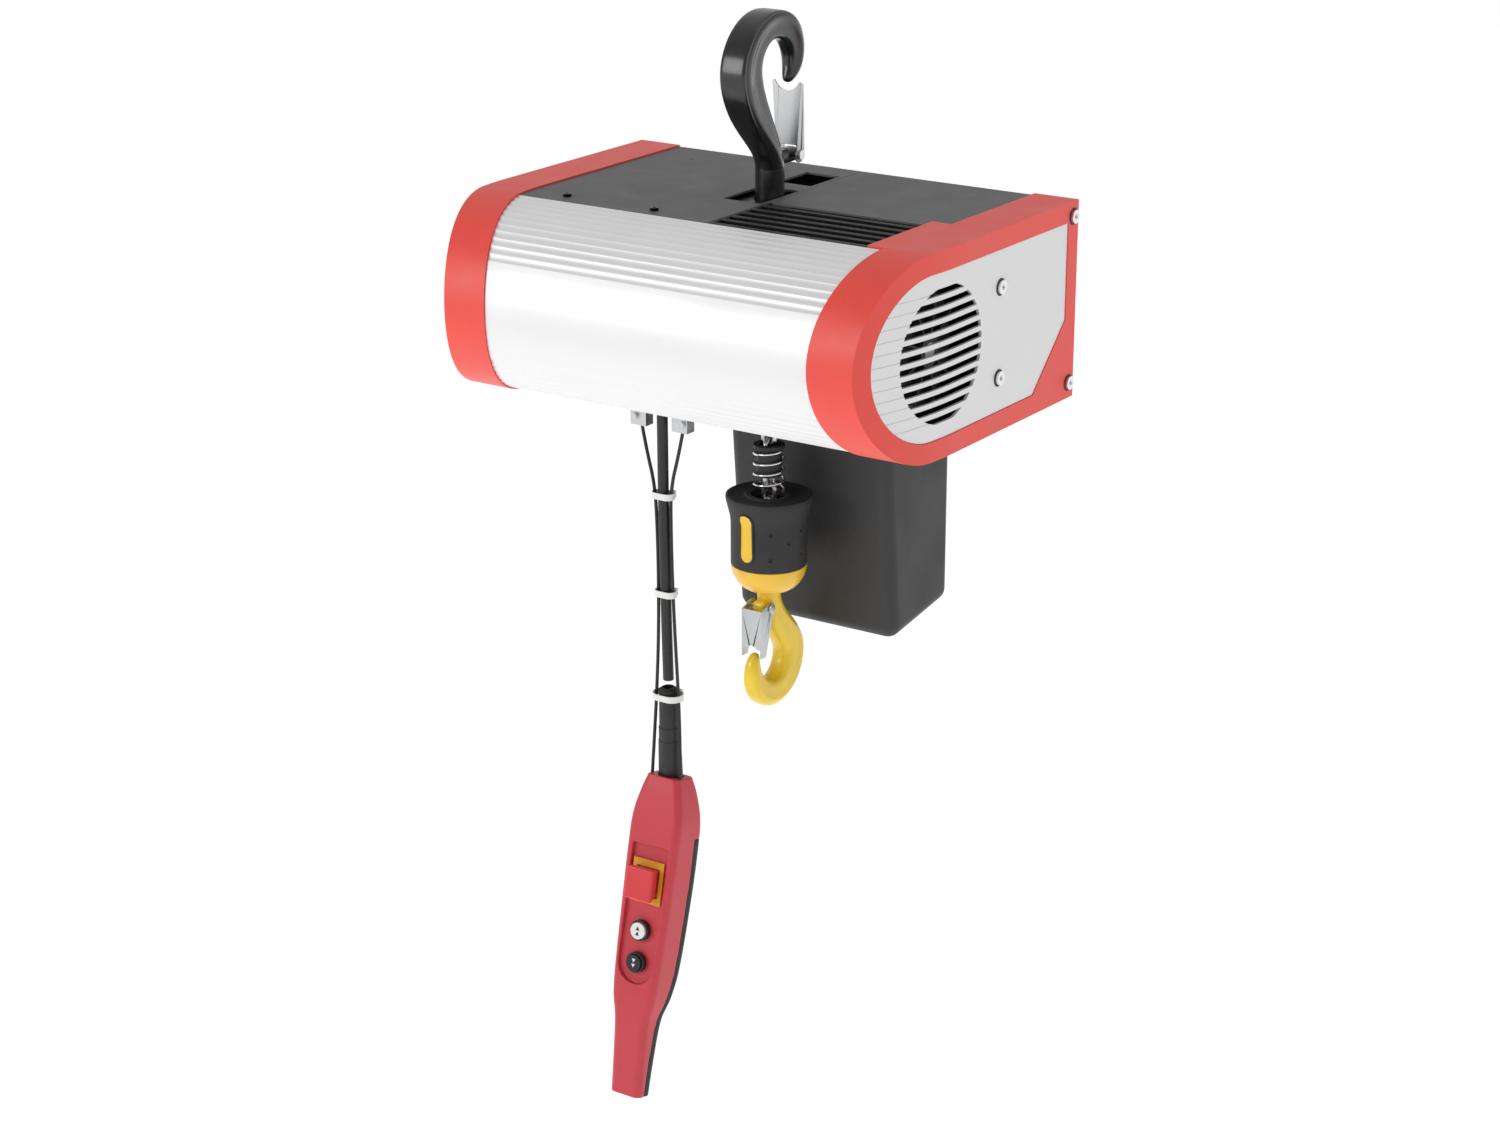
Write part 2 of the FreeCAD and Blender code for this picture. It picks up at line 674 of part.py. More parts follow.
FLOOR_UNDERSIDE = f"{BODY_BOTTOM} + skin_inset - 0.1"
group("cable_glands", [gland("-150", "60", 6, 11, FLOOR_UNDERSIDE),
                       gland("cable_x", "cable_y", "cable_radius + 1.8", 11.4, FLOOR_UNDERSIDE)])


# ---------------------------------------------------------------- chain bucket
def bucket_block(inset, corner):
    """The bucket's outer or inner form: front leaning back, floor rising to the rear, a shoulder behind."""
    left, right, back = V["bucket_left"] + inset, V["bucket_right"] - inset, V["bucket_back"] - inset
    top = V["rim_top"] - V["body_height"] - 0.3
    points = [(39.7 + inset, top), (V["body_back"] - 2 - inset, top), (back, top - 60),
              (back, V["bucket_bottom"] + 17 + inset), (64 + inset, V["bucket_bottom"] + inset)]
    wire = Part.makePolygon([Vector(left, y, z) for y, z in points + points[:1]])
    solid = Part.Face(wire).extrude(Vector(right - left, 0, 0))
    edges = [e for e in solid.Edges if e.BoundBox.ZMin < top - 1]
    return solid.makeFillet(corner, edges)


def chain_bucket():
    outer = bucket_block(0, 14)
    inner = bucket_block(V["bucket_wall"], 11)
    shell = outer.cut(inner)
    top = V["rim_top"] - V["body_height"] - 0.3
    ledges = [Part.makeBox(14, 60, 3, Vector(x, 55, top - 3))
              for x in (V["bucket_left"] + 2, V["bucket_right"] - 16)]
    bucket = shell.multiFuse(ledges).removeSplitter()
    inset = V["bucket_bolt_inset"]
    for x in (V["bucket_left"] + inset, V["bucket_right"] - inset):
        for y in (V["bucket_bolt_front"], V["bucket_bolt_rear"]):
            bucket = bucket.cut(Part.makeCylinder(2.6, 10, Vector(x, y, top - 6)))
    return bucket


node("chain_bucket", feature(chain_bucket(), "Bucket"))
bucket_bolts = [screw((x, y, f"{BODY_BOTTOM} + skin_inset + 2"), 5, 2.5, 12, "z") for x, y in BUCKET_BOLTS]
cover_screw_group = next(n for n in NODES if n.Label == "cover_screws")
cover_screw_group.Links = cover_screw_group.Links + bucket_bolts


# ---------------------------------------------------------------- forged hooks
def hook_section(y, z, outward, depth, width):
    """Oval section across a hook: depth along the outward direction, width along X."""
    angle = math.radians(outward)
    points = []
    for k in range(16):
        a = 2 * math.pi * k / 16
        reach = depth / 2 * math.cos(a)
        points.append(Vector(width / 2 * math.sin(a), y + reach * math.cos(angle), z + reach * math.sin(angle)))
    curve = Part.BSplineCurve()
    curve.interpolate(points, PeriodicFlag=True)
    return Part.Wire([curve.toShape()])


def hook_bow(neck, eye_y, eye_z, eye_radius, ring_sections):
    """Loft from the neck round the eye to the tip; ring sections are (direction from the eye, depth, width)."""
    sections = [hook_section(*s) for s in neck]
    for outward, depth, width in ring_sections:
        a = math.radians(outward)
        r = eye_radius + depth / 2
        if depth < 17:
            r += (17 - depth) * 0.25
        sections.append(hook_section(eye_y + r * math.cos(a), eye_z + r * math.sin(a), outward, depth, width))
    return Part.makeLoft(sections, True, False)


def ear(y_low, y_high, z_low, z_high, pivot_y, pivot_z, pin_radius):
    lug = Part.makeBox(14, y_high - y_low, z_high - z_low, Vector(-7, y_low, z_low))
    return lug, Part.makeCylinder(pin_radius, 30, Vector(-15, pivot_y, pivot_z), Vector(1, 0, 0))


def suspension_hook():
    bow = hook_bow([(0, -129, 180, 27.6, 27.6), (0, -120, 180, 27.8, 27.8), (-1.5, -108, 188, 28, 28),
                    (-13, -88, 214, 31, 28), (-32, -62, 212, 39, 29)],
                   V["top_eye_y"], V["top_eye_z"], V["top_eye_radius"],
                   [(196, 44, 29), (175, 44, 29), (150, 40, 29), (120, 34, 28), (90, 29, 27),
                    (60, 26, 26), (30, 23, 24), (0, 20, 21), (-22, 15, 16), (-40, 8, 8)])
    collar = Part.makeCylinder(14, 29.6, Vector(0, 0, -153.6))
    shank = Part.makeCylinder(12, 34, Vector(0, 0, -184))
    lug, pin = ear(6, 41, -121, -107, V["top_pivot_y"], V["top_pivot_z"], 3.03)
    cross = Part.makeCylinder(4.04, 40, Vector(-20, 0, -168), Vector(1, 0, 0))
    return bow.multiFuse([collar, shank, lug]).cut(pin).cut(cross)


def load_hook():
    bow = hook_bow([(0, -536, 0, 23.4, 23.4), (0, -544, 0, 23.4, 23.4), (0.7, -553, 6, 23.6, 23),
                    (8.5, -571, 28, 26, 23), (21, -586, 36, 30, 24)],
                   V["load_eye_y"], V["load_eye_z"], V["load_eye_radius"],
                   [(20, 33, 25), (0, 35, 25.5), (-30, 35, 25.5), (-60, 33, 25), (-90, 31, 24),
                    (-120, 27, 22), (-150, 22, 19), (-180, 16, 15), (-198, 11.5, 12), (-212, 6, 7)])
    shank = Part.makeCylinder(11.95, 42, Vector(0, 0, -541))
    lug, pin = ear(-20, -5, -561, -549, V["load_pivot_y"], V["load_pivot_z"], 3.03)
    return bow.multiFuse([shank, lug]).cut(pin)


def latch(pivot_y, pivot_z, web_y, web_start, end_z, flange, lobe, half_end, notch):
    """Pressed latch: a web across the throat, a flange each side with a lobe round the pin, a notched end.

    flange is its depth and z at the far end, notch its radius and how far beyond the end its centre is."""
    sheet_thick, half_width = 1.5, 11.5
    sign = 1 if end_z > pivot_z else -1
    spread = (half_end - half_width) / abs(end_z - pivot_z)
    corners = []
    for z in (web_start, end_z):
        half = half_width + spread * abs(z - pivot_z)
        corners += [(-half, z), (half, z)] if z == web_start else [(half, z), (-half, z)]
    outline = Part.makePolygon([Vector(x, web_y, z) for x, z in corners + corners[:1]])
    web = Part.Face(outline).extrude(Vector(0, sheet_thick, 0))
    radius, beyond = notch
    web = web.cut(Part.makeCylinder(radius, 10, Vector(0, web_y - 4, end_z + sign * beyond), Vector(0, 1, 0)))
    flanges = []
    edge = web_y if pivot_y > web_y else web_y + sheet_thick
    towards = 1 if pivot_y > web_y else -1
    depth, flange_z = flange
    for side in (-1, 1):
        x = -half_width if side < 0 else half_width - sheet_thick
        points = [(edge, flange_z), (edge + towards * depth, flange_z), (pivot_y + towards * lobe, pivot_z),
                  (pivot_y, pivot_z - sign * lobe), (edge, min(pivot_z, web_start, key=lambda z: sign * z))]
        wire = Part.makePolygon([Vector(x, y, z) for y, z in points + points[:1]])
        cheek = Part.Face(wire).extrude(Vector(sheet_thick, 0, 0))
        cheek = cheek.fuse(Part.makeCylinder(lobe, sheet_thick, Vector(x, pivot_y, pivot_z), Vector(1, 0, 0)))
        tilt = math.degrees(math.atan(spread)) * sign * side
        cheek.rotate(Vector(side * half_width, 0, pivot_z), Vector(0, 1, 0), tilt)
        flanges.append(cheek)
    pin = Part.makeCylinder(3.06, 40, Vector(-20, pivot_y, pivot_z), Vector(1, 0, 0))
    return web.multiFuse(flanges).cut(pin).removeSplitter()


def latch_pin(y, z, name):
    """Headed rivet through the hook's ear and both flanges."""
    body = Part.makeCylinder(3, 25.4, Vector(-12.4, y, z), Vector(1, 0, 0))
    heads = [Part.makeCylinder(4.6, 1.8, Vector(x, y, z), Vector(1, 0, 0)) for x in (-13.8, 12)]
    return feature(body.multiFuse(heads).removeSplitter(), name)


node("suspension_hook", feature(suspension_hook(), "SuspensionHook"))
top_pin = latch_pin(V["top_pivot_y"], V["top_pivot_z"], "TopLatchPin")
group("suspension_pins", [rod((-28, 0, -168), 4, 56), top_pin])
top_latch = latch(V["top_pivot_y"], V["top_pivot_z"], 28.5, -104, -44, (5, -46), 7.5, 16, (14, 5))
node("suspension_latch", feature(top_latch, "TopLatch"))
node("load_hook", feature(load_hook(), "LoadHook"))
node("load_latch_pin", latch_pin(V["load_pivot_y"], V["load_pivot_z"], "LoadLatchPin"))
load_latch = latch(V["load_pivot_y"], V["load_pivot_z"], -31, -554, -594, (9, -603), 6.5, 11.5, (7.5, 4.5))
node("load_latch", feature(load_latch, "LoadLatch"))


# ---------------------------------------------------------------- hook block
def revolved(points):
    """Solid turned about the load line from (radius, height) points."""
    wire = Part.makePolygon([Vector(r, 0, z) for r, z in points + points[:1]])
    return Part.Face(wire).revolve(Vector(), Vector(0, 0, 1), 360)


def cover_side(extra):
    """Outer side of the cover from its flared rim down, extra outside it, as (radius, height)."""
    top, rim, radius = V["block_top"], V["block_rim_radius"], V["block_radius"]
    return [(rim + extra, top - 2), (rim - 1.9 + extra, top - 14.5), (radius + 0.5 + extra, top - 23),
            (radius + extra, top - 26.5), (radius + extra, V["cup_top"] + 0.2)]


def block_cover():
    top, rim, radius = V["block_top"], V["block_rim_radius"], V["block_radius"]
    wall = 4
    points = [(17, top - 2.5), (rim - 2, top)] + cover_side(0)
    points += [(radius - wall, V["cup_top"] + 0.2), (radius - wall, top - 24),
               (rim - wall - 2, top - 14), (rim - wall - 1, top - 7), (17, top - 8)]
    return revolved(points)


def cover_half(side):
    """The cover is two halves that meet in the YZ plane."""
    half = Part.makeBox(59.9, 120, 100, Vector(-60 if side < 0 else 0.1, -60, V["cup_top"] - 5))
    return block_cover().common(half)


def block_cup():
    """Cast cup under the cover; the hook's shank turns in the hole of its floor."""
    low, high, radius = V["cup_bottom"], V["cup_top"], V["block_radius"]
    points = [(12, low), (20, low), (29, low + 5.5), (35, low + 14), (radius, high),
              (radius - 4, high), (31, low + 16), (25, low + 12), (12, low + 12)]
    cup = revolved(points)
    posts = [Part.makeBox(8.8, 10, 46, Vector(x, -5, high - 8)) for x in (-32.8, 24)]
    bridge_low = ANCHOR_Z - 14
    bridge = Part.makeBox(62, 16, 22, Vector(-31, -8, bridge_low))
    slot_x, slot_y = V["link_width"] + 1.5, V["wire"] + 1.5
    slot_low = ANCHOR_Z - ANCHOR_RADIUS - V["wire"] - 1
    slot = Part.makeBox(slot_x, slot_y, 30, Vector(-slot_x / 2, -slot_y / 2, slot_low))
    pin_hole = Part.makeCylinder(ANCHOR_RADIUS + 0.02, 40, Vector(0, -20, ANCHOR_Z), Vector(0, 1, 0))
    return cup.multiFuse(posts + [bridge]).cut(slot).cut(pin_hole)


def buffer_spring():
    turns, wire, radius, low = 4, 1.25, 14.6, V["block_top"] + 2.5
    height = 42
    helix = Part.makeHelix(height / turns, height, radius)
    profile = Part.Wire([Part.Circle(Vector(radius, 0, 0), Vector(0, 1, 0), wire).toShape()])
    coil = Part.Wire(helix.Edges).makePipeShell([profile], True, True)
    coil.translate(Vector(0, 0, low))
    return coil


def rating_label():
    """Thin oval plate set on the cover, its long side upright."""
    high, low, half = -455, -504, 7.5
    shell = revolved(cover_side(0.7) + list(reversed(cover_side(0.1))))
    bar = Part.makeBox(60, 2 * half, high - low - 2 * half, Vector(0, -half, low + half))
    ends = [Part.makeCylinder(half, 60, Vector(0, 0, z), Vector(1, 0, 0)) for z in (high - half, low + half)]
    stamp = bar.multiFuse(ends)
    stamp.rotate(Vector(), Vector(0, 0, 1), -92)
    return shell.common(stamp)


group("block_cover", [feature(cover_half(-1), "CoverLeft"), feature(cover_half(1), "CoverRight")])
node("block_cup", feature(block_cup(), "Cup"))
node("rating_label", feature(rating_label(), "Label"))
rubber = fuse(ring((0, 0, "block_top + 18"), 12.4, 9.2, 30, "z"),
              ring((0, 0, "block_top + 46"), 15.4, 9.2, 3.5, "z"))
node("rubber_buffer", rubber)
node("buffer_spring", feature(buffer_spring(), "Spring"))
group("thrust_bearing", [ring((0, 0, "cup_bottom + 12.02"), 21, 12, 3.4, "z"),
                         ring((0, 0, "cup_bottom + 16.6"), 21, 12, 3.3, "z"),
                         ring((0, 0, "cup_bottom + 15.45"), 19, 14, 1.1, "z")])
node("hook_nut", ring((0, 0, "cup_bottom + 19.95"), 19, 11.97, 14, "z"))


# ---------------------------------------------------------------- control pendant
PENDANT = Placement(Vector(V["cable_x"], V["pendant_y"], V["pendant_top_z"]),
                    Rotation(Vector(1, 0, 0), -V["pendant_tilt"]))
# (distance down the handle, width, front, back)
PENDANT_SECTIONS = [(0, 38, -17, 15), (16, 48, -19, 19.5), (42, 59, -21, 23), (75, 60, -22.5, 24.5),
                    (130, 58, -24, 24), (200, 54, -26, 20), (228, 50, -26.5, 14), (250, 41, -26, 8),
                    (290, 38, -23, 4.5), (330, 36.5, -20, 3)]
REAR_TOP = 62                   # how far down the handle the rear shell starts
REAR_DEPTH = 13                 # how far forward of the back it reaches


def rounded_wire(width, front, back, z, radius):
    half = width / 2
    radius = min(radius, (back - front) / 2 - 0.5)
    corner = radius * (1 - math.sqrt(0.5))
    edges = []
    spots = [(-half, front, 1, 1), (half, front, -1, 1), (half, back, -1, -1), (-half, back, 1, -1)]
    previous = None
    first = None
    for index, (x, y, sx, sy) in enumerate(spots):
        along_y = Vector(x, y + sy * radius, z)
        along_x = Vector(x + sx * radius, y, z)
        middle = Vector(x + sx * corner, y + sy * corner, z)
        start, end = (along_y, along_x) if index % 2 == 0 else (along_x, along_y)
        if previous is not None:
            edges.append(Part.LineSegment(previous, start).toShape())
        else:
            first = start
        edges.append(Part.Arc(start, middle, end).toShape())
        previous = end
    edges.append(Part.LineSegment(previous, first).toShape())
    return Part.Wire(edges)


def pendant_loft(grow, front_shift, back_shift, radius, first=0, last=99):
    wires = [rounded_wire(w + 2 * grow, f + front_shift, b + back_shift, -d, radius)
             for d, w, f, b in PENDANT_SECTIONS[first:last]]
    return Part.makeLoft(wires, True, True)


def rear_zone(gap):
    """Where the black rear shell is: a strip along the back from below the shoulder to the end."""
    wires = []
    for d, w, f, b in [(REAR_TOP + gap, 60, -22, 24)] + PENDANT_SECTIONS[3:] + [(340, 36, -19.5, 2.6)]:
        near, far = b - REAR_DEPTH + gap, b + 6
        line = [Vector(-40, near, -d), Vector(40, near, -d), Vector(40, far, -d), Vector(-40, far, -d)]
        wires.append(Part.makePolygon(line + line[:1]))
    return Part.makeLoft(wires, True, True)


def pendant_recess():
    """Sunk field for the buttons: square at the top, round at the bottom, its floor 5 mm down."""
    half, upper, lower = 21, 70, 191
    floor_shape = [Vector(x, 0, -d) for x, d in ((-half, upper), (half, upper), (half, lower), (-half, lower))]
    flat = Part.Face(Part.makePolygon(floor_shape + floor_shape[:1])).extrude(Vector(0, 60, 0))
    round_end = Part.makeCylinder(half, 60, Vector(0, 0, -lower), Vector(0, 1, 0))
    field = flat.fuse(round_end)
    field.translate(Vector(0, -60, 0))
    above_floor = pendant_loft(20, -40, 0, 2, 2, 8)
    below_floor = pendant_loft(20, 5, 60, 2, 2, 8)
    return field.common(above_floor).cut(below_floor)


def in_pendant(shape, name):
    shape = shape.copy()
    shape.Placement = PENDANT.multiply(shape.Placement)
    return feature(shape, name)


BUTTON_FLOOR = {"stop": -18.4, "up": -19.8, "down": -20.7}
BUTTON_DOWN = {"stop": 107, "up": 157, "down": 190}


def front_shell():
    body = pendant_loft(0, 0, 0, 7).cut(rear_zone(0))
    cavity = pendant_loft(-3, 10, -2, 5)
    lid = Part.makeBox(80, 80, 30, Vector(-40, -40, -3.0))
    end = Part.makeBox(80, 80, 30, Vector(-40, -40, -357.0))
    cavity = cavity.cut(lid).cut(end)
    mouth = Part.makeCylinder(13, 20, Vector(0, 0, -10))
    body = body.cut(cavity).cut(pendant_recess()).cut(mouth)
    for name, radius in (("up", 7.5), ("down", 7.5), ("stop", 9)):
        body = body.cut(Part.makeCylinder(radius, 30, Vector(0, -30, -BUTTON_DOWN[name]), Vector(0, 1, 0)))
    return body


def rear_shell():
    body = pendant_loft(0, 0, 0, 7).common(rear_zone(0.2))
    cavity = pendant_loft(-3, 10, -2.5, 5)
    end = Part.makeBox(80, 80, 30, Vector(-40, -40, -357.0))
    return body.cut(cavity.cut(end))


def y_rod(radius, front, length, down):
    return Part.makeCylinder(radius, length, Vector(0, front, -down), Vector(0, 1, 0))


def stop_button():
    down = BUTTON_DOWN["stop"]
    cap = Part.makeBox(31, 5, 33, Vector(-15.5, -37.5, -down - 16.5))
    cap = cap.makeFillet(1.6, [e for e in cap.Edges if e.BoundBox.YMax < -37.4 or e.BoundBox.YLength > 4])
    skirt = Part.makeBox(27, 8.5, 29, Vector(-13.5, -33, -down - 14.5))
    return cap.multiFuse([skirt, y_rod(8.9, -26, 14, down)])


def stop_frame():
    down, floor = BUTTON_DOWN["stop"], BUTTON_FLOOR["stop"]
    plate = Part.makeBox(37, 2.3, 44, Vector(-18.5, floor - 3.2, -down - 22))
    return plate.cut(Part.makeBox(27.6, 10, 29.6, Vector(-13.8, floor - 6, -down - 14.8)))


# The stems end one travel and 0.3 mm in front of the contact block.
CONTACT_FRONT, ROUND_TRAVEL = -7, 3
BUTTON_STOP = CONTACT_FRONT - ROUND_TRAVEL - 0.3


def round_button(which):
    down, floor = BUTTON_DOWN[which], BUTTON_FLOOR[which]
    stem_front = floor - 4
    return y_rod(8.4, floor - 8.5, 5.1, down).fuse(y_rod(7.4, stem_front, BUTTON_STOP - stem_front, down))


def button_collar(which):
    down, floor = BUTTON_DOWN[which], BUTTON_FLOOR[which]
    return y_rod(10.6, floor - 6.3, 5.8, down).cut(y_rod(8.5, floor - 7, 8, down))


def contact_block():
    """Switch body behind the buttons: three contact cups, whose plungers the buttons push."""
    base = Part.makeBox(30, 14, 128, Vector(-15, CONTACT_FRONT, -215))
    return base.cut(Part.makeBox(40, 2, 6, Vector(-20, -8, -135)))


node("pendant_front_shell", in_pendant(front_shell(), "FrontShell"))
node("pendant_rear_shell", in_pendant(rear_shell(), "RearShell"))
node("stop_button", in_pendant(stop_button(), "StopButton"))
node("stop_frame", in_pendant(stop_frame(), "StopFrame"))
node("up_button", in_pendant(round_button("up"), "UpButton"))
node("down_button", in_pendant(round_button("down"), "DownButton"))
group("button_collars", [in_pendant(button_collar(w), "Collar") for w in ("up", "down")])
node("contact_block", in_pendant(contact_block(), "Contacts"))


# ---------------------------------------------------------------- pendant cable, boot and strain wires
def tube(points, radius, name):
    """Round tube along straight runs joined by tangent arcs."""
    corners = [Vector(*p) for p in points]
    edges = []
    start = corners[0]
    for before, here, after in zip(corners, corners[1:], corners[2:]):
        back, ahead = (before - here), (after - here)
        turn = math.pi - back.getAngle(ahead)
        shorter = min(back.Length, ahead.Length)
        reach = 0.45 * shorter
        bend = reach / math.tan(turn / 2)
        print(f"{name}: bend radius {bend:.0f}")
        entry, leave = here + back.normalize() * reach, here + ahead.normalize() * reach
        centre_way = (back + ahead).normalize()
        middle = here + centre_way * (bend / math.cos(turn / 2) - bend)
        edges += [Part.LineSegment(start, entry).toShape(), Part.Arc(entry, middle, leave).toShape()]
        start = leave
    edges.append(Part.LineSegment(start, corners[-1]).toShape())
    path = Part.Wire(edges)
    direction = (corners[1] - corners[0]).normalize()
    profile = Part.Wire([Part.Circle(corners[0], direction, radius).toShape()])
    solid = path.makePipeShell([profile], True, False)
    expected = math.pi * radius ** 2 * path.Length
    print(f"{name}: length {path.Length:.1f}, volume ratio {solid.Volume / expected:.4f}")
    return feature(solid, name)


CABLE_ROUTE = [(-71, -78, -343), (-71, -77.6, -436), (-71, -75.4, -532), (-71, -71.6, -628)]
WIRE_ROUTE = [(24, -78, -368), (19, -78.2, -392), (9.4, -78.2, -427), (8.1, -76.6, -470), (8.3, -75.0, -530),
              (10.2, -73.6, -590), (13.2, -73.4, -645), (15.4, -74.6, -688), (17, -76.8, -729)]

node("control_cable", tube(CABLE_ROUTE, V["cable_radius"], "ControlCable"))
for side, name in ((-1, "strain_wire_left"), (1, "strain_wire_right")):
    route = [(V["cable_x"] + side * x, y, z) for x, y, z in WIRE_ROUTE]
    node(name, tube(route, V["strain_wire_radius"], name))


def boot():
    """Stepped rubber sleeve leaning with the cable, from the cable's end into the pendant's mouth."""
    top = Vector(V["cable_x"], -72.6, V["boot_top_z"] + 10)
    foot = Vector(V["cable_x"], V["pendant_y"], V["pendant_top_z"] - 3)
    way = (foot - top).normalize()
    length = (foot - top).Length - 10
    steps = []
    stages = ((10, 12, 6.5, 9.3), (12, 52, 9.3, 10), (52, 66, 10.6, 10.8), (66, length + 10, 11.3, 12.2))
    for low, high, first, last in stages:
        steps.append(Part.makeCone(first, last, high - low, top + way * low, way))
    return steps[0].multiFuse(steps[1:]).cut(Part.makeCylinder(5.6, 14, top, way))


def oval(half_x, half_y, low, height, x, y):
    straight = half_x - half_y
    flat = box((f"{x} - {straight}", f"{y} - {half_y}", low), (2 * straight, 2 * half_y, height))
    ends = [rod((f"{x} + {s * (half_x - half_y)}", y, low), half_y, height, "z") for s in (-1, 1)]
    return fuse(flat, *ends)


def cable_tie(z, y, half_x, half_y):
    band = cut(oval(half_x, half_y, z - 3.2, 6.4, "cable_x", y),
               oval(half_x - 1.1, half_y - 1.1, z - 4, 8, "cable_x", y))
    lock = box((f"cable_x + {half_x - half_y} - 3", y + half_y - 0.9, z - 3.4), (6, 4, 6.8))
    return fuse(band, lock)


def wire_clamp(side):
    """Zinc clamp hanging from its eye bolt: two ears with a pin, a body that grips the wire, a cross screw."""
    x = f"cable_x + {side} * clamp_spread"
    ears = [box((f"{x} + {e}", "cable_y - 4", "cable_exit_z - 9"), (2.2, 8, 13)) for e in (4, -6.2)]
    pin = rod((f"{x} - 6.2", "cable_y", "cable_exit_z"), 1.8, 12.4)
    body = box((f"{x} - 9", "cable_y - 6", "cable_exit_z - 23"), (18, 12, 14.5))
    bolt = rod((f"{x} + {side * 3.5}", "cable_y - 9", "cable_exit_z - 14"), 3.4, 18, "y")
    return fuse(*ears, pin, body, bolt)


def eye_bolt(side):
    x = f"cable_x + {side} * clamp_spread"
    shank = rod((x, "cable_y", "cable_exit_z + 3"), 2, 13, "z")
    eye = ring((f"{x} - 3.5", "cable_y", "cable_exit_z"), 4, 1.85, 7)
    return fuse(shank, eye)


node("pendant_boot", feature(boot(), "Boot"))
group("cable_ties", [cable_tie(-436, -77.4, 12.2, 7.2), cable_tie(-537, -74.9, 11.8, 7.2),
                     cable_tie(-645, -72.4, 16.4, 11.6)])
group("wire_clamps", [wire_clamp(-1), wire_clamp(1)])
cover_screw_group.Links = cover_screw_group.Links + [eye_bolt(-1), eye_bolt(1)]


# ---------------------------------------------------------------- checks and export
doc.recompute()
for thing in doc.Objects:
    if "Invalid" in thing.State or "Error" in thing.State:
        raise RuntimeError(f"{thing.Label} ({thing.TypeId}) failed: {thing.State}")
os.makedirs("parts", exist_ok=True)
labels = [thing.Label for thing in NODES]
assert len(set(labels)) == len(labels) <= 60, len(labels)
for thing in NODES:
    shape = thing.Shape
    if shape.isNull() or not shape.isValid() or not shape.Solids:
        raise RuntimeError(f"{thing.Label}: bad shape")
    print(f"{thing.Label:24s} solids {len(shape.Solids):3d} volume {shape.Volume / 1000:9.2f} cm3")
for thing in NODES:
    thing.Shape.exportStep(f"parts/{thing.Label}.step")
print(len(NODES), "nodes")
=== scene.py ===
import math

import bmesh
import bpy
from mathutils import Matrix, Vector


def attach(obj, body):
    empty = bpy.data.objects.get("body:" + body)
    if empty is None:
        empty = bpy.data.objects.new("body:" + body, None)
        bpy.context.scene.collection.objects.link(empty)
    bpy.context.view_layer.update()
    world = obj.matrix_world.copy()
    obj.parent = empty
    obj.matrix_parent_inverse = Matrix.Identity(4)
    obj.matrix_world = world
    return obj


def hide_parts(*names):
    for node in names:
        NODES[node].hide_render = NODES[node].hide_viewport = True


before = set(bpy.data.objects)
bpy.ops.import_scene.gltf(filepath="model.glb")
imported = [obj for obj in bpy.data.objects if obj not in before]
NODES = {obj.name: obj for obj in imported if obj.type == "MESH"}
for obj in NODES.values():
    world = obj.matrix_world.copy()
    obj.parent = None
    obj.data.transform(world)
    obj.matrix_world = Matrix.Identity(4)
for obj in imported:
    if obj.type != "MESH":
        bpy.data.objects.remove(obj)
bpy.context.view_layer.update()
MM = 0.001
COAT_ROUGHNESS = 0.15
BUMP_DEPTH = 0.0003
WELD_DISTANCE = 0.00001


# ---------------------------------------------------------------- materials
def new_material(name, colour, rough, metal=0.0, coat=0.0):
    material = bpy.data.materials.new(name)
    material.use_nodes = True
    shader = material.node_tree.nodes["Principled BSDF"]
    shader.inputs["Base Color"].default_value = (*colour, 1)
    shader.inputs["Roughness"].default_value = rough
    shader.inputs["Metallic"].default_value = metal
    shader.inputs["Coat Weight"].default_value = coat
    shader.inputs["Coat Roughness"].default_value = COAT_ROUGHNESS
    return material


def coordinates(tree, stretch=(1, 1, 1)):
    place = tree.nodes.new("ShaderNodeTexCoord")
    scale = tree.nodes.new("ShaderNodeMapping")
    scale.inputs["Scale"].default_value = stretch
    tree.links.new(place.outputs["Object"], scale.inputs["Vector"])
    return scale.outputs["Vector"]


def noise(tree, size, detail=3, stretch=(1, 1, 1)):
    """Noise whose grains are about size metres across."""
    node = tree.nodes.new("ShaderNodeTexNoise")
    node.inputs["Scale"].default_value = 1 / size
    node.inputs["Detail"].default_value = detail
    tree.links.new(coordinates(tree, stretch), node.inputs["Vector"])
    return node.outputs["Fac"]


def ranged(tree, value, low, high, from_low=0.3, from_high=0.7):
    node = tree.nodes.new("ShaderNodeMapRange")
    limits = {"From Min": from_low, "From Max": from_high, "To Min": low, "To Max": high}
    for name, number in limits.items():
        node.inputs[name].default_value = number
    tree.links.new(value, node.inputs["Value"])
    return node.outputs["Result"]


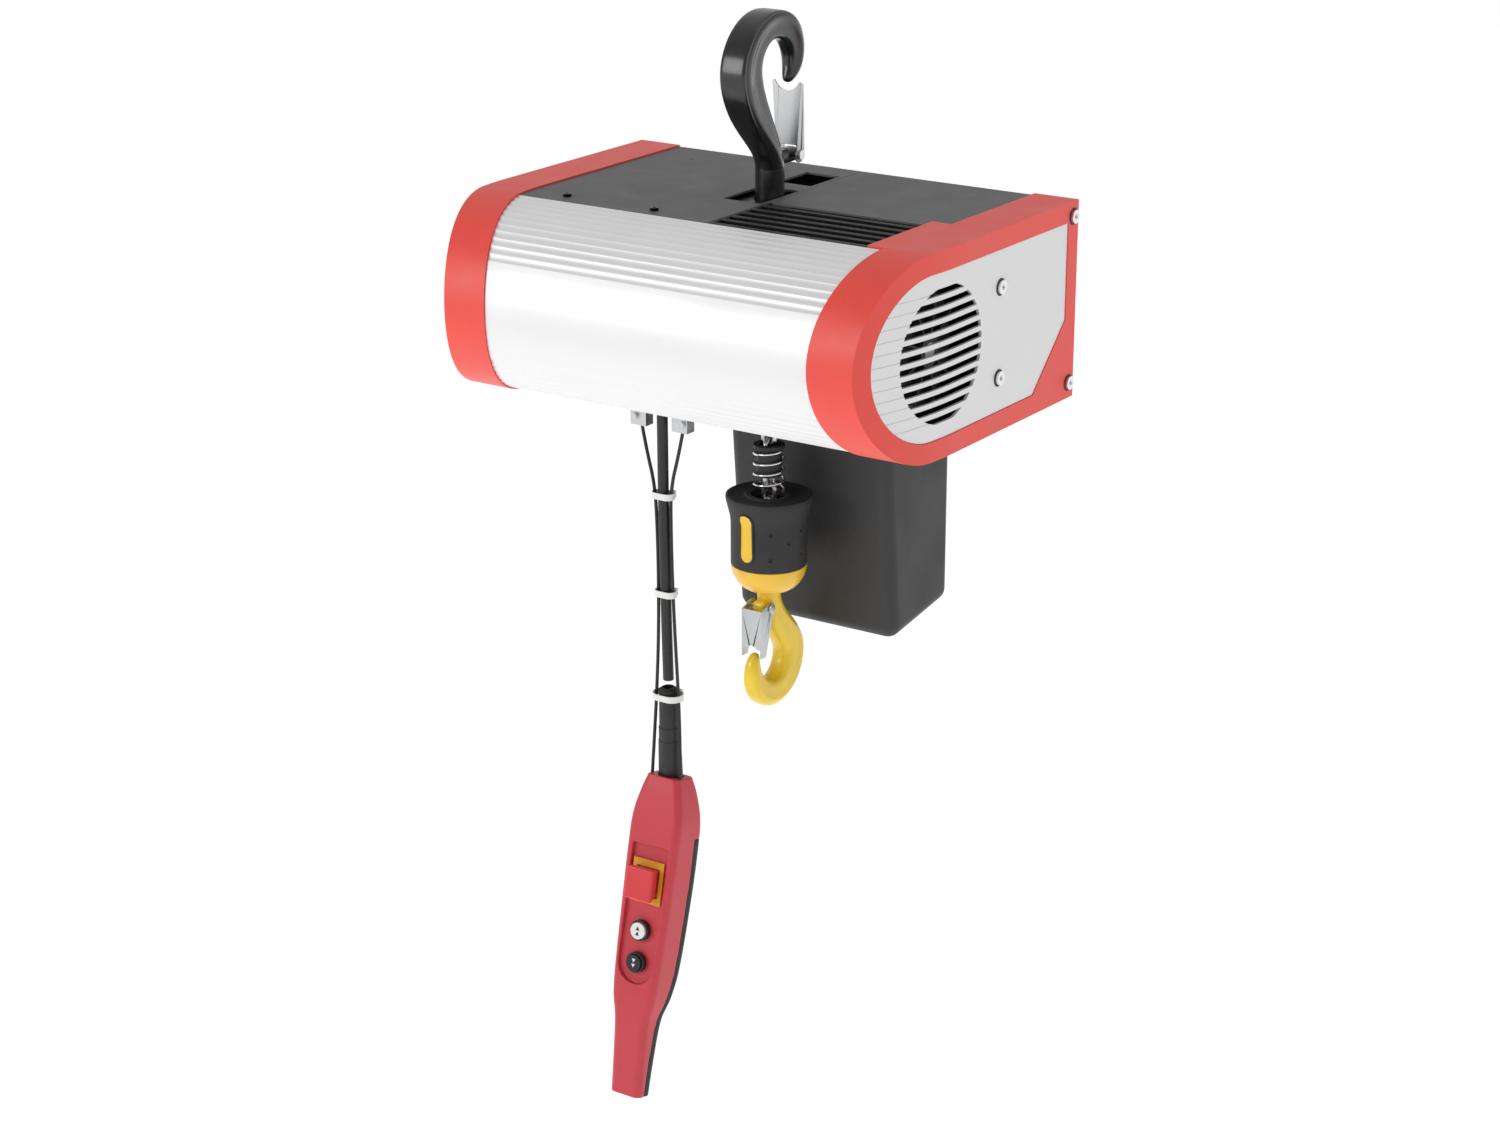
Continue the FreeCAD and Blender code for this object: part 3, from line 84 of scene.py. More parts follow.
def surface(name, colour, rough, metal=0.0, coat=0.0, grain=0.0006, bump=0.1, tone=0.06, patch=0.03,
            stretch=(1, 1, 1), edge_highlight=None):
    """Plain finish: fine grain in the bump, slow changes of tone and gloss, and an optional painted highlight,
    a lighter colour along convex edges.
    """
    material = new_material(name, colour, rough, metal, coat)
    tree = material.node_tree
    shader = tree.nodes["Principled BSDF"]
    slow = noise(tree, patch, 4)
    tree.links.new(ranged(tree, slow, rough * 0.88, min(1.0, rough * 1.14)), shader.inputs["Roughness"])
    mix = tree.nodes.new("ShaderNodeMix")
    mix.data_type = "RGBA"
    mix.inputs["A"].default_value = (*[c * (1 - tone) for c in colour], 1)
    mix.inputs["B"].default_value = (*[min(1, c * (1 + tone)) for c in colour], 1)
    tree.links.new(ranged(tree, slow, 0, 1), mix.inputs["Factor"])
    result = mix.outputs["Result"]
    # Painted highlight: on convex edges, found by pointiness, the colour turns to the given lighter tint.
    if edge_highlight:
        edge = tree.nodes.new("ShaderNodeNewGeometry")
        highlight_mix = tree.nodes.new("ShaderNodeMix")
        highlight_mix.data_type = "RGBA"
        highlight_mix.inputs["B"].default_value = (*edge_highlight, 1)
        tree.links.new(result, highlight_mix.inputs["A"])
        tree.links.new(ranged(tree, edge.outputs["Pointiness"], 0, 0.6, 0.53, 0.62), highlight_mix.inputs["Factor"])
        result = highlight_mix.outputs["Result"]
    tree.links.new(result, shader.inputs["Base Color"])
    relief = tree.nodes.new("ShaderNodeBump")
    relief.inputs["Strength"].default_value = bump
    relief.inputs["Distance"].default_value = BUMP_DEPTH
    tree.links.new(noise(tree, grain, 2, stretch), relief.inputs["Height"])
    tree.links.new(relief.outputs["Normal"], shader.inputs["Normal"])
    return material


CAP = surface("red_cap", (0.87, 0.075, 0.055), 0.42, grain=0.0005, bump=0.12, tone=0.03)
SILVER = surface("silver_skin", (0.86, 0.86, 0.865), 0.45, metal=0.35, grain=0.0004, bump=0.06, tone=0.012,
                 patch=0.08)
PANEL = surface("silver_panel", (0.80, 0.80, 0.81), 0.45, metal=0.35, grain=0.0004, bump=0.08, tone=0.015)
COVER = surface("dark_cover", (0.115, 0.115, 0.118), 0.55, grain=0.0005, bump=0.2, tone=0.05)
LOUVRE = surface("louvre", (0.02, 0.02, 0.021), 0.6, grain=0.0005, bump=0.15)
INSIDE = surface("inner_metal", (0.30, 0.30, 0.31), 0.45, metal=0.9, grain=0.001, bump=0.3)
STEEL = surface("machined_steel", (0.52, 0.52, 0.53), 0.3, metal=1.0, grain=0.0006, bump=0.1,
                stretch=(8, 1, 1))
BRIGHT = surface("bright_zinc", (0.78, 0.78, 0.80), 0.22, metal=1.0, grain=0.0008, bump=0.05, tone=0.04,
                 patch=0.006)
LATCH = surface("latch_zinc", (0.56, 0.57, 0.58), 0.34, metal=1.0, grain=0.0005, bump=0.08, tone=0.04,
                stretch=(1, 1, 0.15))
# Near-black for the floor of each screw socket: painted shade.
SOCKET_SHADE = surface("socket_painted_shade", (0.02, 0.02, 0.02), 0.5, metal=0.5)
CHAIN = surface("chain_zinc", (0.66, 0.66, 0.66), 0.28, metal=1.0, grain=0.001, bump=0.15, tone=0.08,
                patch=0.008)
BOARD = surface("board", (0.03, 0.16, 0.08), 0.5)
PLASTIC = surface("black_plastic", (0.02, 0.02, 0.021), 0.45, grain=0.0005, bump=0.15)
BUCKET = surface("bucket_plastic", (0.030, 0.030, 0.031), 0.52, grain=0.0009, bump=0.55, tone=0.06,
                 patch=0.05)
# Both forgings get a lighter tint along convex edges: a painted highlight.
BLACK_FORGING = surface("black_forging", (0.010, 0.010, 0.011), 0.24, coat=0.4, grain=0.004, bump=0.2,
                        tone=0.1, patch=0.02, edge_highlight=(0.05, 0.05, 0.055))
YELLOW_FORGING = surface("yellow_forging", (0.92, 0.64, 0.025), 0.30, coat=0.35, grain=0.003, bump=0.22,
                         tone=0.05, patch=0.02, edge_highlight=(0.96, 0.74, 0.16))
YELLOW_CUP = surface("yellow_cup", (0.92, 0.55, 0.035), 0.34, coat=0.3, grain=0.002, bump=0.12, tone=0.03)
RUBBER = surface("block_rubber", (0.022, 0.022, 0.0225), 0.62, grain=0.0006, bump=0.35, tone=0.07)
LABEL = surface("label_yellow", (0.93, 0.58, 0.04), 0.4, grain=0.002, bump=0.03, tone=0.02)
SPRING = surface("spring_wire", (0.88, 0.88, 0.88), 0.14, metal=1.0, grain=0.002, bump=0.02)
PENDANT_RED = surface("pendant_red", (0.62, 0.045, 0.065), 0.42, grain=0.0005, bump=0.1, tone=0.03)
PENDANT_BLACK = surface("pendant_black", (0.018, 0.018, 0.019), 0.5, grain=0.0005, bump=0.2)
STOP_RED = surface("stop_red", (0.72, 0.035, 0.045), 0.35, coat=0.2, tone=0.02, bump=0.03)
STOP_YELLOW = surface("stop_yellow", (0.80, 0.36, 0.012), 0.42, tone=0.02, bump=0.05)
WHITE = surface("button_white", (0.86, 0.85, 0.83), 0.35, tone=0.01, bump=0.03)
BLACK_BUTTON = surface("button_black", (0.015, 0.015, 0.016), 0.35, bump=0.05)
CABLE = surface("cable_sheath", (0.014, 0.014, 0.015), 0.42, grain=0.0012, bump=0.25)
BOOT = surface("boot_rubber", (0.016, 0.016, 0.017), 0.5, grain=0.0008, bump=0.3)
TIE = surface("tie_nylon", (0.84, 0.84, 0.82), 0.4, tone=0.02, bump=0.05)
ZINC = surface("cast_zinc", (0.60, 0.61, 0.62), 0.36, metal=1.0, grain=0.0012, bump=0.25, tone=0.06,
               patch=0.006)

# The two screws in the top cover are blackened; the rest of that node is zinc.
SCREWS = surface("screw_zinc", (0.82, 0.82, 0.84), 0.24, metal=1.0, grain=0.0008, bump=0.05, tone=0.03,
                 patch=0.006)
BLACKENED = (0.015, 0.015, 0.016, 1)
TOP_SCREWS_ABOVE = -0.15


def blacken_above(material, height):
    """Black base colour above that height, in metres."""
    tree = material.node_tree
    shader = tree.nodes["Principled BSDF"]
    split = tree.nodes.new("ShaderNodeSeparateXYZ")
    tree.links.new(coordinates(tree), split.inputs["Vector"])
    high = tree.nodes.new("ShaderNodeMath")
    high.operation = "GREATER_THAN"
    high.inputs[1].default_value = height
    tree.links.new(split.outputs["Z"], high.inputs[0])
    mix = tree.nodes.new("ShaderNodeMix")
    mix.data_type = "RGBA"
    mix.inputs["B"].default_value = BLACKENED
    tree.links.new(shader.inputs["Base Color"].links[0].from_socket, mix.inputs["A"])
    tree.links.new(high.outputs["Value"], mix.inputs["Factor"])
    tree.links.new(mix.outputs["Result"], shader.inputs["Base Color"])


blacken_above(SCREWS, TOP_SCREWS_ABOVE)

FINISH = {
    CAP: "right_end_cap left_end_cap", SILVER: "front_housing", PANEL: "right_end_panel left_end_panel",
    COVER: "top_cover_left top_cover_right rear_tray", LOUVRE: "louvre_block",
    BRIGHT: "suspension_pins load_latch_pin", SCREWS: "cover_screws",
    INSIDE: "main_frame gear_lid motor_end_shield stator rotor",
    STEEL: "bearings motor_shaft lay_shaft first_gear output_gear chain_wheel brake_armature brake_plate "
           "thrust_bearing hook_nut",
    PLASTIC: "brake_magnet brake_disc cooling_fan chain_guide limit_switch cable_glands contact_block",
    CHAIN: "load_chain slack_chain", BOARD: "control_board", BUCKET: "chain_bucket",
    BLACK_FORGING: "suspension_hook",
    YELLOW_FORGING: "load_hook", LATCH: "load_latch suspension_latch", RUBBER: "block_cover rubber_buffer",
    YELLOW_CUP: "block_cup", LABEL: "rating_label", SPRING: "buffer_spring",
    PENDANT_RED: "pendant_front_shell",
    PENDANT_BLACK: "pendant_rear_shell button_collars", STOP_RED: "stop_button", STOP_YELLOW: "stop_frame",
    WHITE: "up_button", BLACK_BUTTON: "down_button",
    CABLE: "control_cable strain_wire_left strain_wire_right",
    BOOT: "pendant_boot", TIE: "cable_ties", ZINC: "wire_clamps",
}
for material, names in FINISH.items():
    for name in names.split():
        piece = NODES[name]
        piece.data.materials.clear()
        piece.data.materials.append(material)


def shade_smooth(mesh):
    for face in mesh.polygons:
        face.use_smooth = True


def bevel_sharp_edges(piece, width, segments, angle):
    """Bevel of that width in metres on edges sharper than angle, with the flats shaded flat."""
    bevel = piece.modifiers.new("Bevel", "BEVEL")
    bevel.width = width
    bevel.segments = segments
    bevel.limit_method = "ANGLE"
    bevel.angle_limit = math.radians(angle)
    shade = piece.modifiers.new("Shade", "WEIGHTED_NORMAL")
    shade.keep_sharp = True
    return bevel


def round_edges(name, width):
    """Small radius on a CAD node's sharp edges."""
    piece = NODES[name]
    weld = piece.modifiers.new("Weld", "WELD")
    weld.merge_threshold = WELD_DISTANCE
    bevel_sharp_edges(piece, width, segments=3, angle=32).use_clamp_overlap = True
    shade_smooth(piece.data)


EDGE_RADII = {
    1.5: "right_end_cap left_end_cap", 1.2: "chain_bucket", 0.6: "wire_clamps up_button down_button",
    0.5: "right_end_panel left_end_panel cover_screws pendant_boot stop_frame button_collars load_latch_pin",
    0.45: "suspension_latch load_latch", 0.4: "louvre_block cable_ties", 0.1: "rating_label",
}
for width, names in EDGE_RADII.items():
    for name in names.split():
        round_edges(name, width * MM)
for name in "buffer_spring load_chain slack_chain stop_button rubber_buffer".split():
    shade_smooth(NODES[name].data)


# ---------------------------------------------------------------- mesh helpers, in millimetres
def add_piece(name, shape, material, body, slot, *nodes, place=None):
    """Turns a bmesh in millimetres into a piece that rides on body and stands for the nodes."""
    bmesh.ops.recalc_face_normals(shape, faces=shape.faces)
    if place:
        shape.transform(place)
    shape.transform(Matrix.Scale(MM, 4))
    mesh = bpy.data.meshes.new(name)
    shape.to_mesh(mesh)
    shape.free()
    mesh.materials.append(material)
    shade_smooth(mesh)
    piece = bpy.data.objects.new(name, mesh)
    bpy.context.scene.collection.objects.link(piece)
    if body:
        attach(piece, body)
    if nodes:
        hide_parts(*nodes)
    return piece


def bridge(shape, rings, closed=False):
    """Adds quads between rings of equal length, and returns the rows of vertices."""
    rows = [[shape.verts.new(point) for point in ring] for ring in rings]
    pairs = list(zip(rows, rows[1:])) + ([(rows[-1], rows[0])] if closed else [])
    count = len(rows[0])
    for first, second in pairs:
        for k in range(count):
            shape.faces.new((first[k], first[(k + 1) % count], second[(k + 1) % count], second[k]))
    return rows


def loft(rings, closed=False):
    """Closed skin over the rings, with a face over each end unless the rings close on themselves."""
    shape = bmesh.new()
    rows = bridge(shape, rings, closed)
    if not closed:
        shape.faces.new(rows[0])
        shape.faces.new(list(reversed(rows[-1])))
    return shape


def turned(outline, steps=96):
    """Solid of revolution about Z from a closed (radius, height) outline."""
    rings = []
    for k in range(steps):
        a = math.tau * k / steps
        rings.append([(r * math.cos(a), r * math.sin(a), z) for r, z in outline])
    return loft(rings, closed=True)


def subdivide(piece):
    modifier = piece.modifiers.new("Smooth", "SUBSURF")
    modifier.levels = modifier.render_levels = 2


def carve(piece, cutters):
    """Cuts the cutters from the piece's mesh, then deletes them."""
    for cutter in cutters:
        modifier = piece.modifiers.new("Cut", "BOOLEAN")
        modifier.operation = "DIFFERENCE"
        modifier.solver = "EXACT"
        modifier.object = cutter
    settle(piece)
    for cutter in cutters:
        bpy.data.objects.remove(cutter)


def settle(piece):
    """Makes the modified mesh the piece's own."""
    bpy.context.view_layer.update()
    graph = bpy.context.evaluated_depsgraph_get()
    made = bpy.data.meshes.new_from_object(piece.evaluated_get(graph))
    piece.modifiers.clear()
    piece.data = made


def moulded(piece, voxel, passes):
    """Even mesh with every edge softened, as on a moulding."""
    remesh = piece.modifiers.new("Even", "REMESH")
    remesh.mode = "VOXEL"
    remesh.voxel_size = voxel * MM
    remesh.use_smooth_shade = True
    soften = piece.modifiers.new("Soften", "SMOOTH")
    soften.factor = 0.5
    soften.iterations = passes
    settle(piece)
    shade_smooth(piece.data)


def crisp(piece, width, segments=2):
    """Bevel of that width in millimetres on a modelled piece's sharp edges."""
    bevel_sharp_edges(piece, width * MM, segments, angle=35)


# ---------------------------------------------------------------- hooks
# Half sections as (outwards, sideways), each 1 at the section's full depth or width.
ROUND = [(math.cos(a), math.sin(a)) for a in (math.pi * k / 12 for k in range(13))]
BANDED = [(1, 0), (1, 0.55), (0.985, 0.86), (0.93, 0.97), (0.84, 0.93), (0.74, 0.99), (0.5, 1.02), (0.3, 0.9),
          (-0.1, 0.72), (-0.6, 0.74), (-0.86, 0.56), (-0.98, 0.27), (-1, 0)]
RIDGED = [(1, 0), (1, 0.3), (0.96, 0.56), (0.8, 0.8), (0.52, 1), (0.44, 1.04), (0.3, 1.01), (-0.15, 0.93),
          (-0.5, 0.94), (-0.8, 0.8), (-0.95, 0.52), (-1, 0.25), (-1, 0)]
# Below this depth, in millimetres, a section stands further out, as the tip of a hook flares.
TIP_DEPTH, TIP_FLARE = 17, 0.25


def hook_ring(y, z, outward, depth, width, half, share):
    """One section of a hook: half shape blended with a round one, share being how much of the shape shows."""
    a = math.radians(outward)
    blended = [(u * share + ru * (1 - share), w * share + rw * (1 - share))
               for (u, w), (ru, rw) in zip(half, ROUND)]
    full = blended + [(u, -w) for u, w in reversed(blended[1:-1])]
    return [(width / 2 * w, y + depth / 2 * u * math.cos(a), z + depth / 2 * u * math.sin(a))
            for u, w in full]


def hook(neck, eye, radius, bow, half):
    """Neck of ((y, z, outward, depth, width), share), then a bow of (outward, depth, width, share)."""
    rings = [hook_ring(*section, half, share) for section, share in neck]
    for outward, depth, width, share in bow:
        a = math.radians(outward)
        reach = radius + depth / 2 + max(0, TIP_DEPTH - depth) * TIP_FLARE
        rings.append(hook_ring(eye[0] + reach * math.cos(a), eye[1] + reach * math.sin(a), outward, depth,
                               width, half, share))
    return loft(rings)


LUG_HALF_WIDTH = 7


def lug(y_low, y_high, z_low, z_high):
    """Ear for a latch pin, rounded at its far end by its bevel."""
    return loft([[(x, y_low, z_low), (x, y_high, z_low), (x, y_high, z_high), (x, y_low, z_high)]
                 for x in (-LUG_HALF_WIDTH, LUG_HALF_WIDTH)])


TOP_NECK = [((0, -129, 180, 27.6, 27.6), 0), ((0, -120, 180, 27.8, 27.8), 0), ((-1.5, -108, 188, 28, 28), 0.2),
            ((-13, -88, 214, 31, 28), 0.6), ((-32, -62, 212, 39, 29), 0.95)]
TOP_BOW = [(196, 44, 29, 1), (175, 44, 29, 1), (150, 40, 29, 1), (120, 34, 28, 1), (90, 29, 27, 1),
           (60, 26, 26, 0.9), (30, 23, 24, 0.7), (0, 20, 21, 0.5), (-22, 15, 16, 0.3), (-40, 8, 8, 0)]
top_hook = add_piece("suspension_hook_forging", hook(TOP_NECK, (3, -25), 25, TOP_BOW, BANDED),
                     BLACK_FORGING, "hoist_body", "forged_black", "suspension_hook")
subdivide(top_hook)
SHANK = [(0.5, -184), (12, -184), (12, -153), (14.6, -153), (15, -151.6), (14.2, -147), (14, -140),
         (13.9, -121), (0.5, -121)]
crisp(add_piece("suspension_hook_shank", turned(SHANK), BLACK_FORGING, "hoist_body", "forged_black"), 0.6)
crisp(add_piece("suspension_hook_ear", lug(6, 41, -121, -107), BLACK_FORGING, "hoist_body", "forged_black"),
      5, 5)

LOAD_NECK = [((0, -536, 0, 23.4, 23.4), 0), ((0, -544, 0, 23.4, 23.4), 0), ((0.7, -553, 6, 23.6, 23), 0.25),
             ((8.5, -571, 28, 26, 23), 0.8), ((21, -586, 36, 30, 24), 1)]
LOAD_BOW = [(20, 33, 25, 1), (0, 35, 25.5, 1), (-30, 35, 25.5, 1), (-60, 33, 25, 1), (-90, 31, 24, 1),
            (-120, 27, 22, 0.85), (-150, 22, 19, 0.6), (-180, 16, 15, 0.4), (-198, 11.5, 12, 0.2),
            (-212, 6, 7, 0)]
bottom_hook = add_piece("load_hook_forging", hook(LOAD_NECK, (-1, -614), 20, LOAD_BOW, RIDGED),
                        YELLOW_FORGING, "load_hook", "forged_yellow", "load_hook")
subdivide(bottom_hook)
LOAD_SHANK = [(0.5, -541), (11.95, -541), (11.95, -500), (0.5, -500)]
crisp(add_piece("load_hook_shank", turned(LOAD_SHANK), YELLOW_FORGING, "load_hook", "forged_yellow"), 0.6)
crisp(add_piece("load_hook_ear", lug(-20, -5, -561, -549), YELLOW_FORGING, "load_hook", "forged_yellow"), 4,
      4)


# ---------------------------------------------------------------- hook block
COVER_INSIDE = [(17, -444), (17, -449.5), (22, -449.5), (34, -448.5), (37.5, -455.5), (33.6, -465.5),
                (33.6, -512.7), (37.3, -512.7)]
COVER_SIDE = [(37.5, -511.5), (37.5, -480), (37.6, -470), (38.1, -464.5), (39.2, -459.5), (40.6, -454),
              (42, -448.5), (42.6, -444.6), (42.2, -442.6)]
COVER_TOP = [(40.4, -441.7), (37, -442.6), (30, -443.9), (24.5, -443.6), (22.8, -441.8), (20.4, -441.7),
             (18, -442.3)]
COVER = COVER_INSIDE + COVER_SIDE + COVER_TOP
# (angle about the block, height)
DIMPLES = [(-54, -473), (-54, -499), (-26, -483), (-1, -472), (-1, -496)]


DIMPLE_RADIUS, DIMPLE_REACH = 2.6, 38.7


def dimple(angle, z):
    """Ball that cuts a shallow dimple in the cover's side."""
    a = math.radians(angle)
    shape = bmesh.new()
    bmesh.ops.create_icosphere(shape, subdivisions=4, radius=DIMPLE_RADIUS)
    place = Matrix.Translation((DIMPLE_REACH * math.cos(a), DIMPLE_REACH * math.sin(a), z))
    return add_piece("dimple_cutter", shape, RUBBER, None, None, place=place)


cover = add_piece("block_cover_moulding", turned(COVER, 144), RUBBER, "hook_block", "block_rubber",
                  "block_cover")
carve(cover, [dimple(angle + turn, z) for turn in (0, 180) for angle, z in DIMPLES])
cover.data.set_sharp_from_angle(angle=math.radians(40))
CUP = [(12, -538.9), (19, -539), (22.5, -538.2), (27, -535.4), (31, -531.4), (34, -526.6), (36, -521.5),
       (37.1, -516.8), (37.5, -513), (33.6, -513), (31, -523), (25, -527), (12, -527)]
crisp(add_piece("block_cup_casting", turned(CUP, 144), YELLOW_CUP, "hook_block", "forged_yellow",
                "block_cup"), 0.6)


def cover_radius(z):
    """Radius of the cover's side at that height."""
    for (r1, z1), (r2, z2) in zip(COVER_SIDE, COVER_SIDE[1:]):
        if z1 <= z <= z2:
            return r1 + (r2 - r1) * (z - z1) / (z2 - z1)
    return COVER_SIDE[0][0]


# Half width and height above the cover of each point in the rim's section.
RIM_SECTION = ((6.5, 0.2), (6.5, 1.05), (6.9, 1.2), (7.9, 1.2), (8.4, 0.9), (8.4, 0.1))
LABEL_MIDDLE, LABEL_STRAIGHT, LABEL_ANGLE, LABEL_STEPS = -479.5, 17, -92, 28


def label_border():
    """Raised dark rim round the label's slot shape, following the flared cover."""
    rings = []
    half_turn = 2 * LABEL_STEPS
    for k in range(2 * half_turn):
        if k < half_turn:
            a, end = math.pi * k / (half_turn - 1), LABEL_STRAIGHT
        else:
            a, end = math.pi + math.pi * (k - half_turn) / (half_turn - 1), -LABEL_STRAIGHT
        ring = []
        for half, lift in RIM_SECTION:
            z = LABEL_MIDDLE + end + half * math.sin(a)
            along = half * math.cos(a)
            radius = cover_radius(z)
            turn = math.radians(LABEL_ANGLE) + along / radius
            ring.append(((radius + lift) * math.cos(turn), (radius + lift) * math.sin(turn), z))
        rings.append(ring)
    return loft(rings, closed=True)


add_piece("rating_label_border", label_border(), PLASTIC, "hook_block", "block_rubber")

# ---------------------------------------------------------------- screws
SOCKET_STEPS, LOBES, LOBE_DEPTH = 48, 6, 0.13
# (radius, distance out along X, depth of the lobes), from the rim to the floor of the socket.
SOCKET_SECTIONS = [(2.98, 2.6, 0), (2.98 * 0.96, 3.04, 0), (2.25, 3.0, LOBE_DEPTH), (2.15, 2.7, LOBE_DEPTH),
                   (2.1, 1.35, LOBE_DEPTH)]


def lobed_ring(x, y, z, side, radius, out, lobe):
    ring = []
    for k in range(SOCKET_STEPS):
        a = math.tau * k / SOCKET_STEPS
        reach = radius * (1 + lobe * math.cos(LOBES * a))
        ring.append((x + side * out, y + reach * math.cos(a), z + reach * math.sin(a)))
    return ring


def socket(x, y, z, side):
    """Six-lobe drive socket, set in a screw head that faces along X."""
    shape = bmesh.new()
    rows = bridge(shape, [lobed_ring(x, y, z, side, *section) for section in SOCKET_SECTIONS])
    # The floor of the socket takes the near-black second material: painted shade.
    shape.faces.new(rows[-1]).material_index = 1
    return shape


def head_ring(x, y, z, side):
    """Dark ring round a screw head."""
    outline = [(6.6, 0.02), (6.6, 0.5), (7.9, 0.5), (8.3, 0.02)]
    place = Matrix.Translation((x, y, z)) @ Matrix.Rotation(math.radians(90 * side), 4, "Y")
    shape = turned(outline, 48)
    shape.transform(place)
    return shape


def gather(shapes):
    """One bmesh from several."""
    whole = bmesh.new()
    for shape in shapes:
        part = bpy.data.meshes.new("part")
        shape.to_mesh(part)
        shape.free()
        whole.from_mesh(part)
        bpy.data.meshes.remove(part)
    return whole


HEADS = []
RIGHT_FACE, LEFT_FACE, PANEL_INSET = 256, -244, 0.8
CAP_SCREWS, PANEL_SCREWS = [(125.5, -159.5), (125.5, -320)], [(-9, -199), (-9, -284)]
for inset, spots in ((0, CAP_SCREWS), (PANEL_INSET, PANEL_SCREWS)):
    for y, z in spots:
        HEADS += [(RIGHT_FACE - inset, y, z, 1), (LEFT_FACE + inset, y, z, -1)]
sockets = add_piece("screw_sockets", gather([socket(*head) for head in HEADS]), BRIGHT, "hoist_body",
                    "bright_steel")
sockets.data.materials.append(SOCKET_SHADE)
add_piece("screw_rings", gather([head_ring(*head) for head in HEADS]), PLASTIC, "hoist_body",
          "black_plastic")

# ---------------------------------------------------------------- pendant
PENDANT = Matrix.Translation((-71, -69, -731)) @ Matrix.Rotation(math.radians(-12), 4, "X")
LENGTH, CORNER = 330, 7.5
# (distance down, width, front, back)
SECTIONS = [(0, 38, -17, 15), (16, 48, -19, 19.5), (42, 59, -21, 23), (75, 60, -22.5, 24.5),
            (130, 58, -24, 24), (200, 54, -26, 20), (228, 50, -26.5, 14), (250, 41, -26, 8),
            (290, 38, -23, 4.5), (LENGTH, 36.5, -20, 3)]


def pendant_size(down):
    """Width, front and back of the handle at that distance down it, smooth from section to section."""
    down = min(max(down, 0), LENGTH)
    index = next(k for k in range(len(SECTIONS) - 1) if down <= SECTIONS[k + 1][0])
    near = [SECTIONS[max(0, min(len(SECTIONS) - 1, index + k))] for k in (-1, 0, 1, 2)]
    span = near[2][0] - near[1][0]
    t = (down - near[1][0]) / span
    values = []
    for column in (1, 2, 3):
        slopes = []
        for before, after in ((near[0], near[2]), (near[1], near[3])):
            gap = after[0] - before[0]
            slopes.append((after[column] - before[column]) / gap * span if gap else 0)
        start, end = near[1][column], near[2][column]
        values.append((2 * t ** 3 - 3 * t ** 2 + 1) * start + (t ** 3 - 2 * t ** 2 + t) * slopes[0]
                      + (3 * t ** 2 - 2 * t ** 3) * end + (t ** 3 - t ** 2) * slopes[1])
    return values


CORNER_STEPS = 8


def rounded(half, front, back, down):
    """Ring with rounded corners, level, at that distance down the handle."""
    corner = min(CORNER, (back - front) / 2 - 0.5)
    points = []
    for cx, cy, start in ((half - corner, back - corner, 0), (corner - half, back - corner, 90),
                          (corner - half, front + corner, 180), (half - corner, front + corner, 270)):
        for k in range(CORNER_STEPS + 1):
            a = math.radians(start + 90 * k / CORNER_STEPS)
            points.append((cx + corner * math.cos(a), cy + corner * math.sin(a), -down))
    return points


def handle():
    rings = []
    steps = LENGTH // 4
    for k in range(steps + 1):
        down = LENGTH * k / steps
        width, front, back = pendant_size(down)
        rings.append(rounded(width / 2, front, back, down))
    return loft(rings)


def cutter(name, rows):
    """Block whose rows are (distance down, half width, near, far)."""
    rings = [[(-half, near, -down), (half, near, -down), (half, far, -down), (-half, far, -down)]
             for down, half, near, far in rows]
    return add_piece(name, loft(rings), PENDANT_RED, None, None, place=PENDANT)


# Where a cutter starts or ends when it is to pass right through the front or the back.
BEFORE, BEHIND = -60, 60


def recess_rows():
    """Rows of the sunk field that holds the buttons, straight above and round below."""
    half, upper, lower, sunk = 21, 70, 191, 5
    rows = [(down, half, BEFORE, pendant_size(down)[1] + sunk) for down in range(upper, lower + 1, 11)]
    for k in range(1, 19):
        a = math.radians(90 * k / 18.4)
        down = lower + half * math.sin(a)
        rows.append((down, half * math.cos(a), BEFORE, pendant_size(down)[1] + sunk))
    return rows


REAR_TOP, REAR_DEPTH, CUT_HALF, CUT_END = 62, 13, 45, 345
rear_rows = [(down, CUT_HALF, pendant_size(down)[2] - REAR_DEPTH, BEHIND)
             for down in [*range(REAR_TOP, LENGTH + 1, 9), CUT_END]]
front = add_piece("pendant_front_moulding", handle(), PENDANT_RED, "pendant", "pendant_red",
                  "pendant_front_shell", place=PENDANT)
mouth = turned([(0.4, -12), (13, -12), (13, 12), (0.4, 12)], 64)
carve(front, [cutter("rear_cutter", rear_rows), cutter("recess_cutter", recess_rows()),
              add_piece("mouth_cutter", mouth, PENDANT_RED, None, None, place=PENDANT)])
VOXEL = 0.85
moulded(front, VOXEL, 7)


def rear_handle():
    """Black rear shell, a small gap clear of the red one at its top and along the joint."""
    rings = []
    steps, top_gap, joint_gap, inset = 67, 0.4, 0.45, 1.5
    for k in range(steps + 1):
        down = REAR_TOP + top_gap + (LENGTH - 0.2 - REAR_TOP) * k / steps
        width, _, back = pendant_size(down)
        full = rounded(width / 2, back - 30, back, down)
        low = back - REAR_DEPTH + joint_gap
        rear_half = [(x, max(y, low), z) for x, y, z in full[:2 * (CORNER_STEPS + 1)]]
        rings.append(rear_half + [(-width / 2 + inset, low, -down), (width / 2 - inset, low, -down)])
    return loft(rings)


rear = add_piece("pendant_rear_moulding", rear_handle(), PENDANT_BLACK, "pendant", "pendant_black",
                 "pendant_rear_shell", place=PENDANT)
moulded(rear, VOXEL, 5)


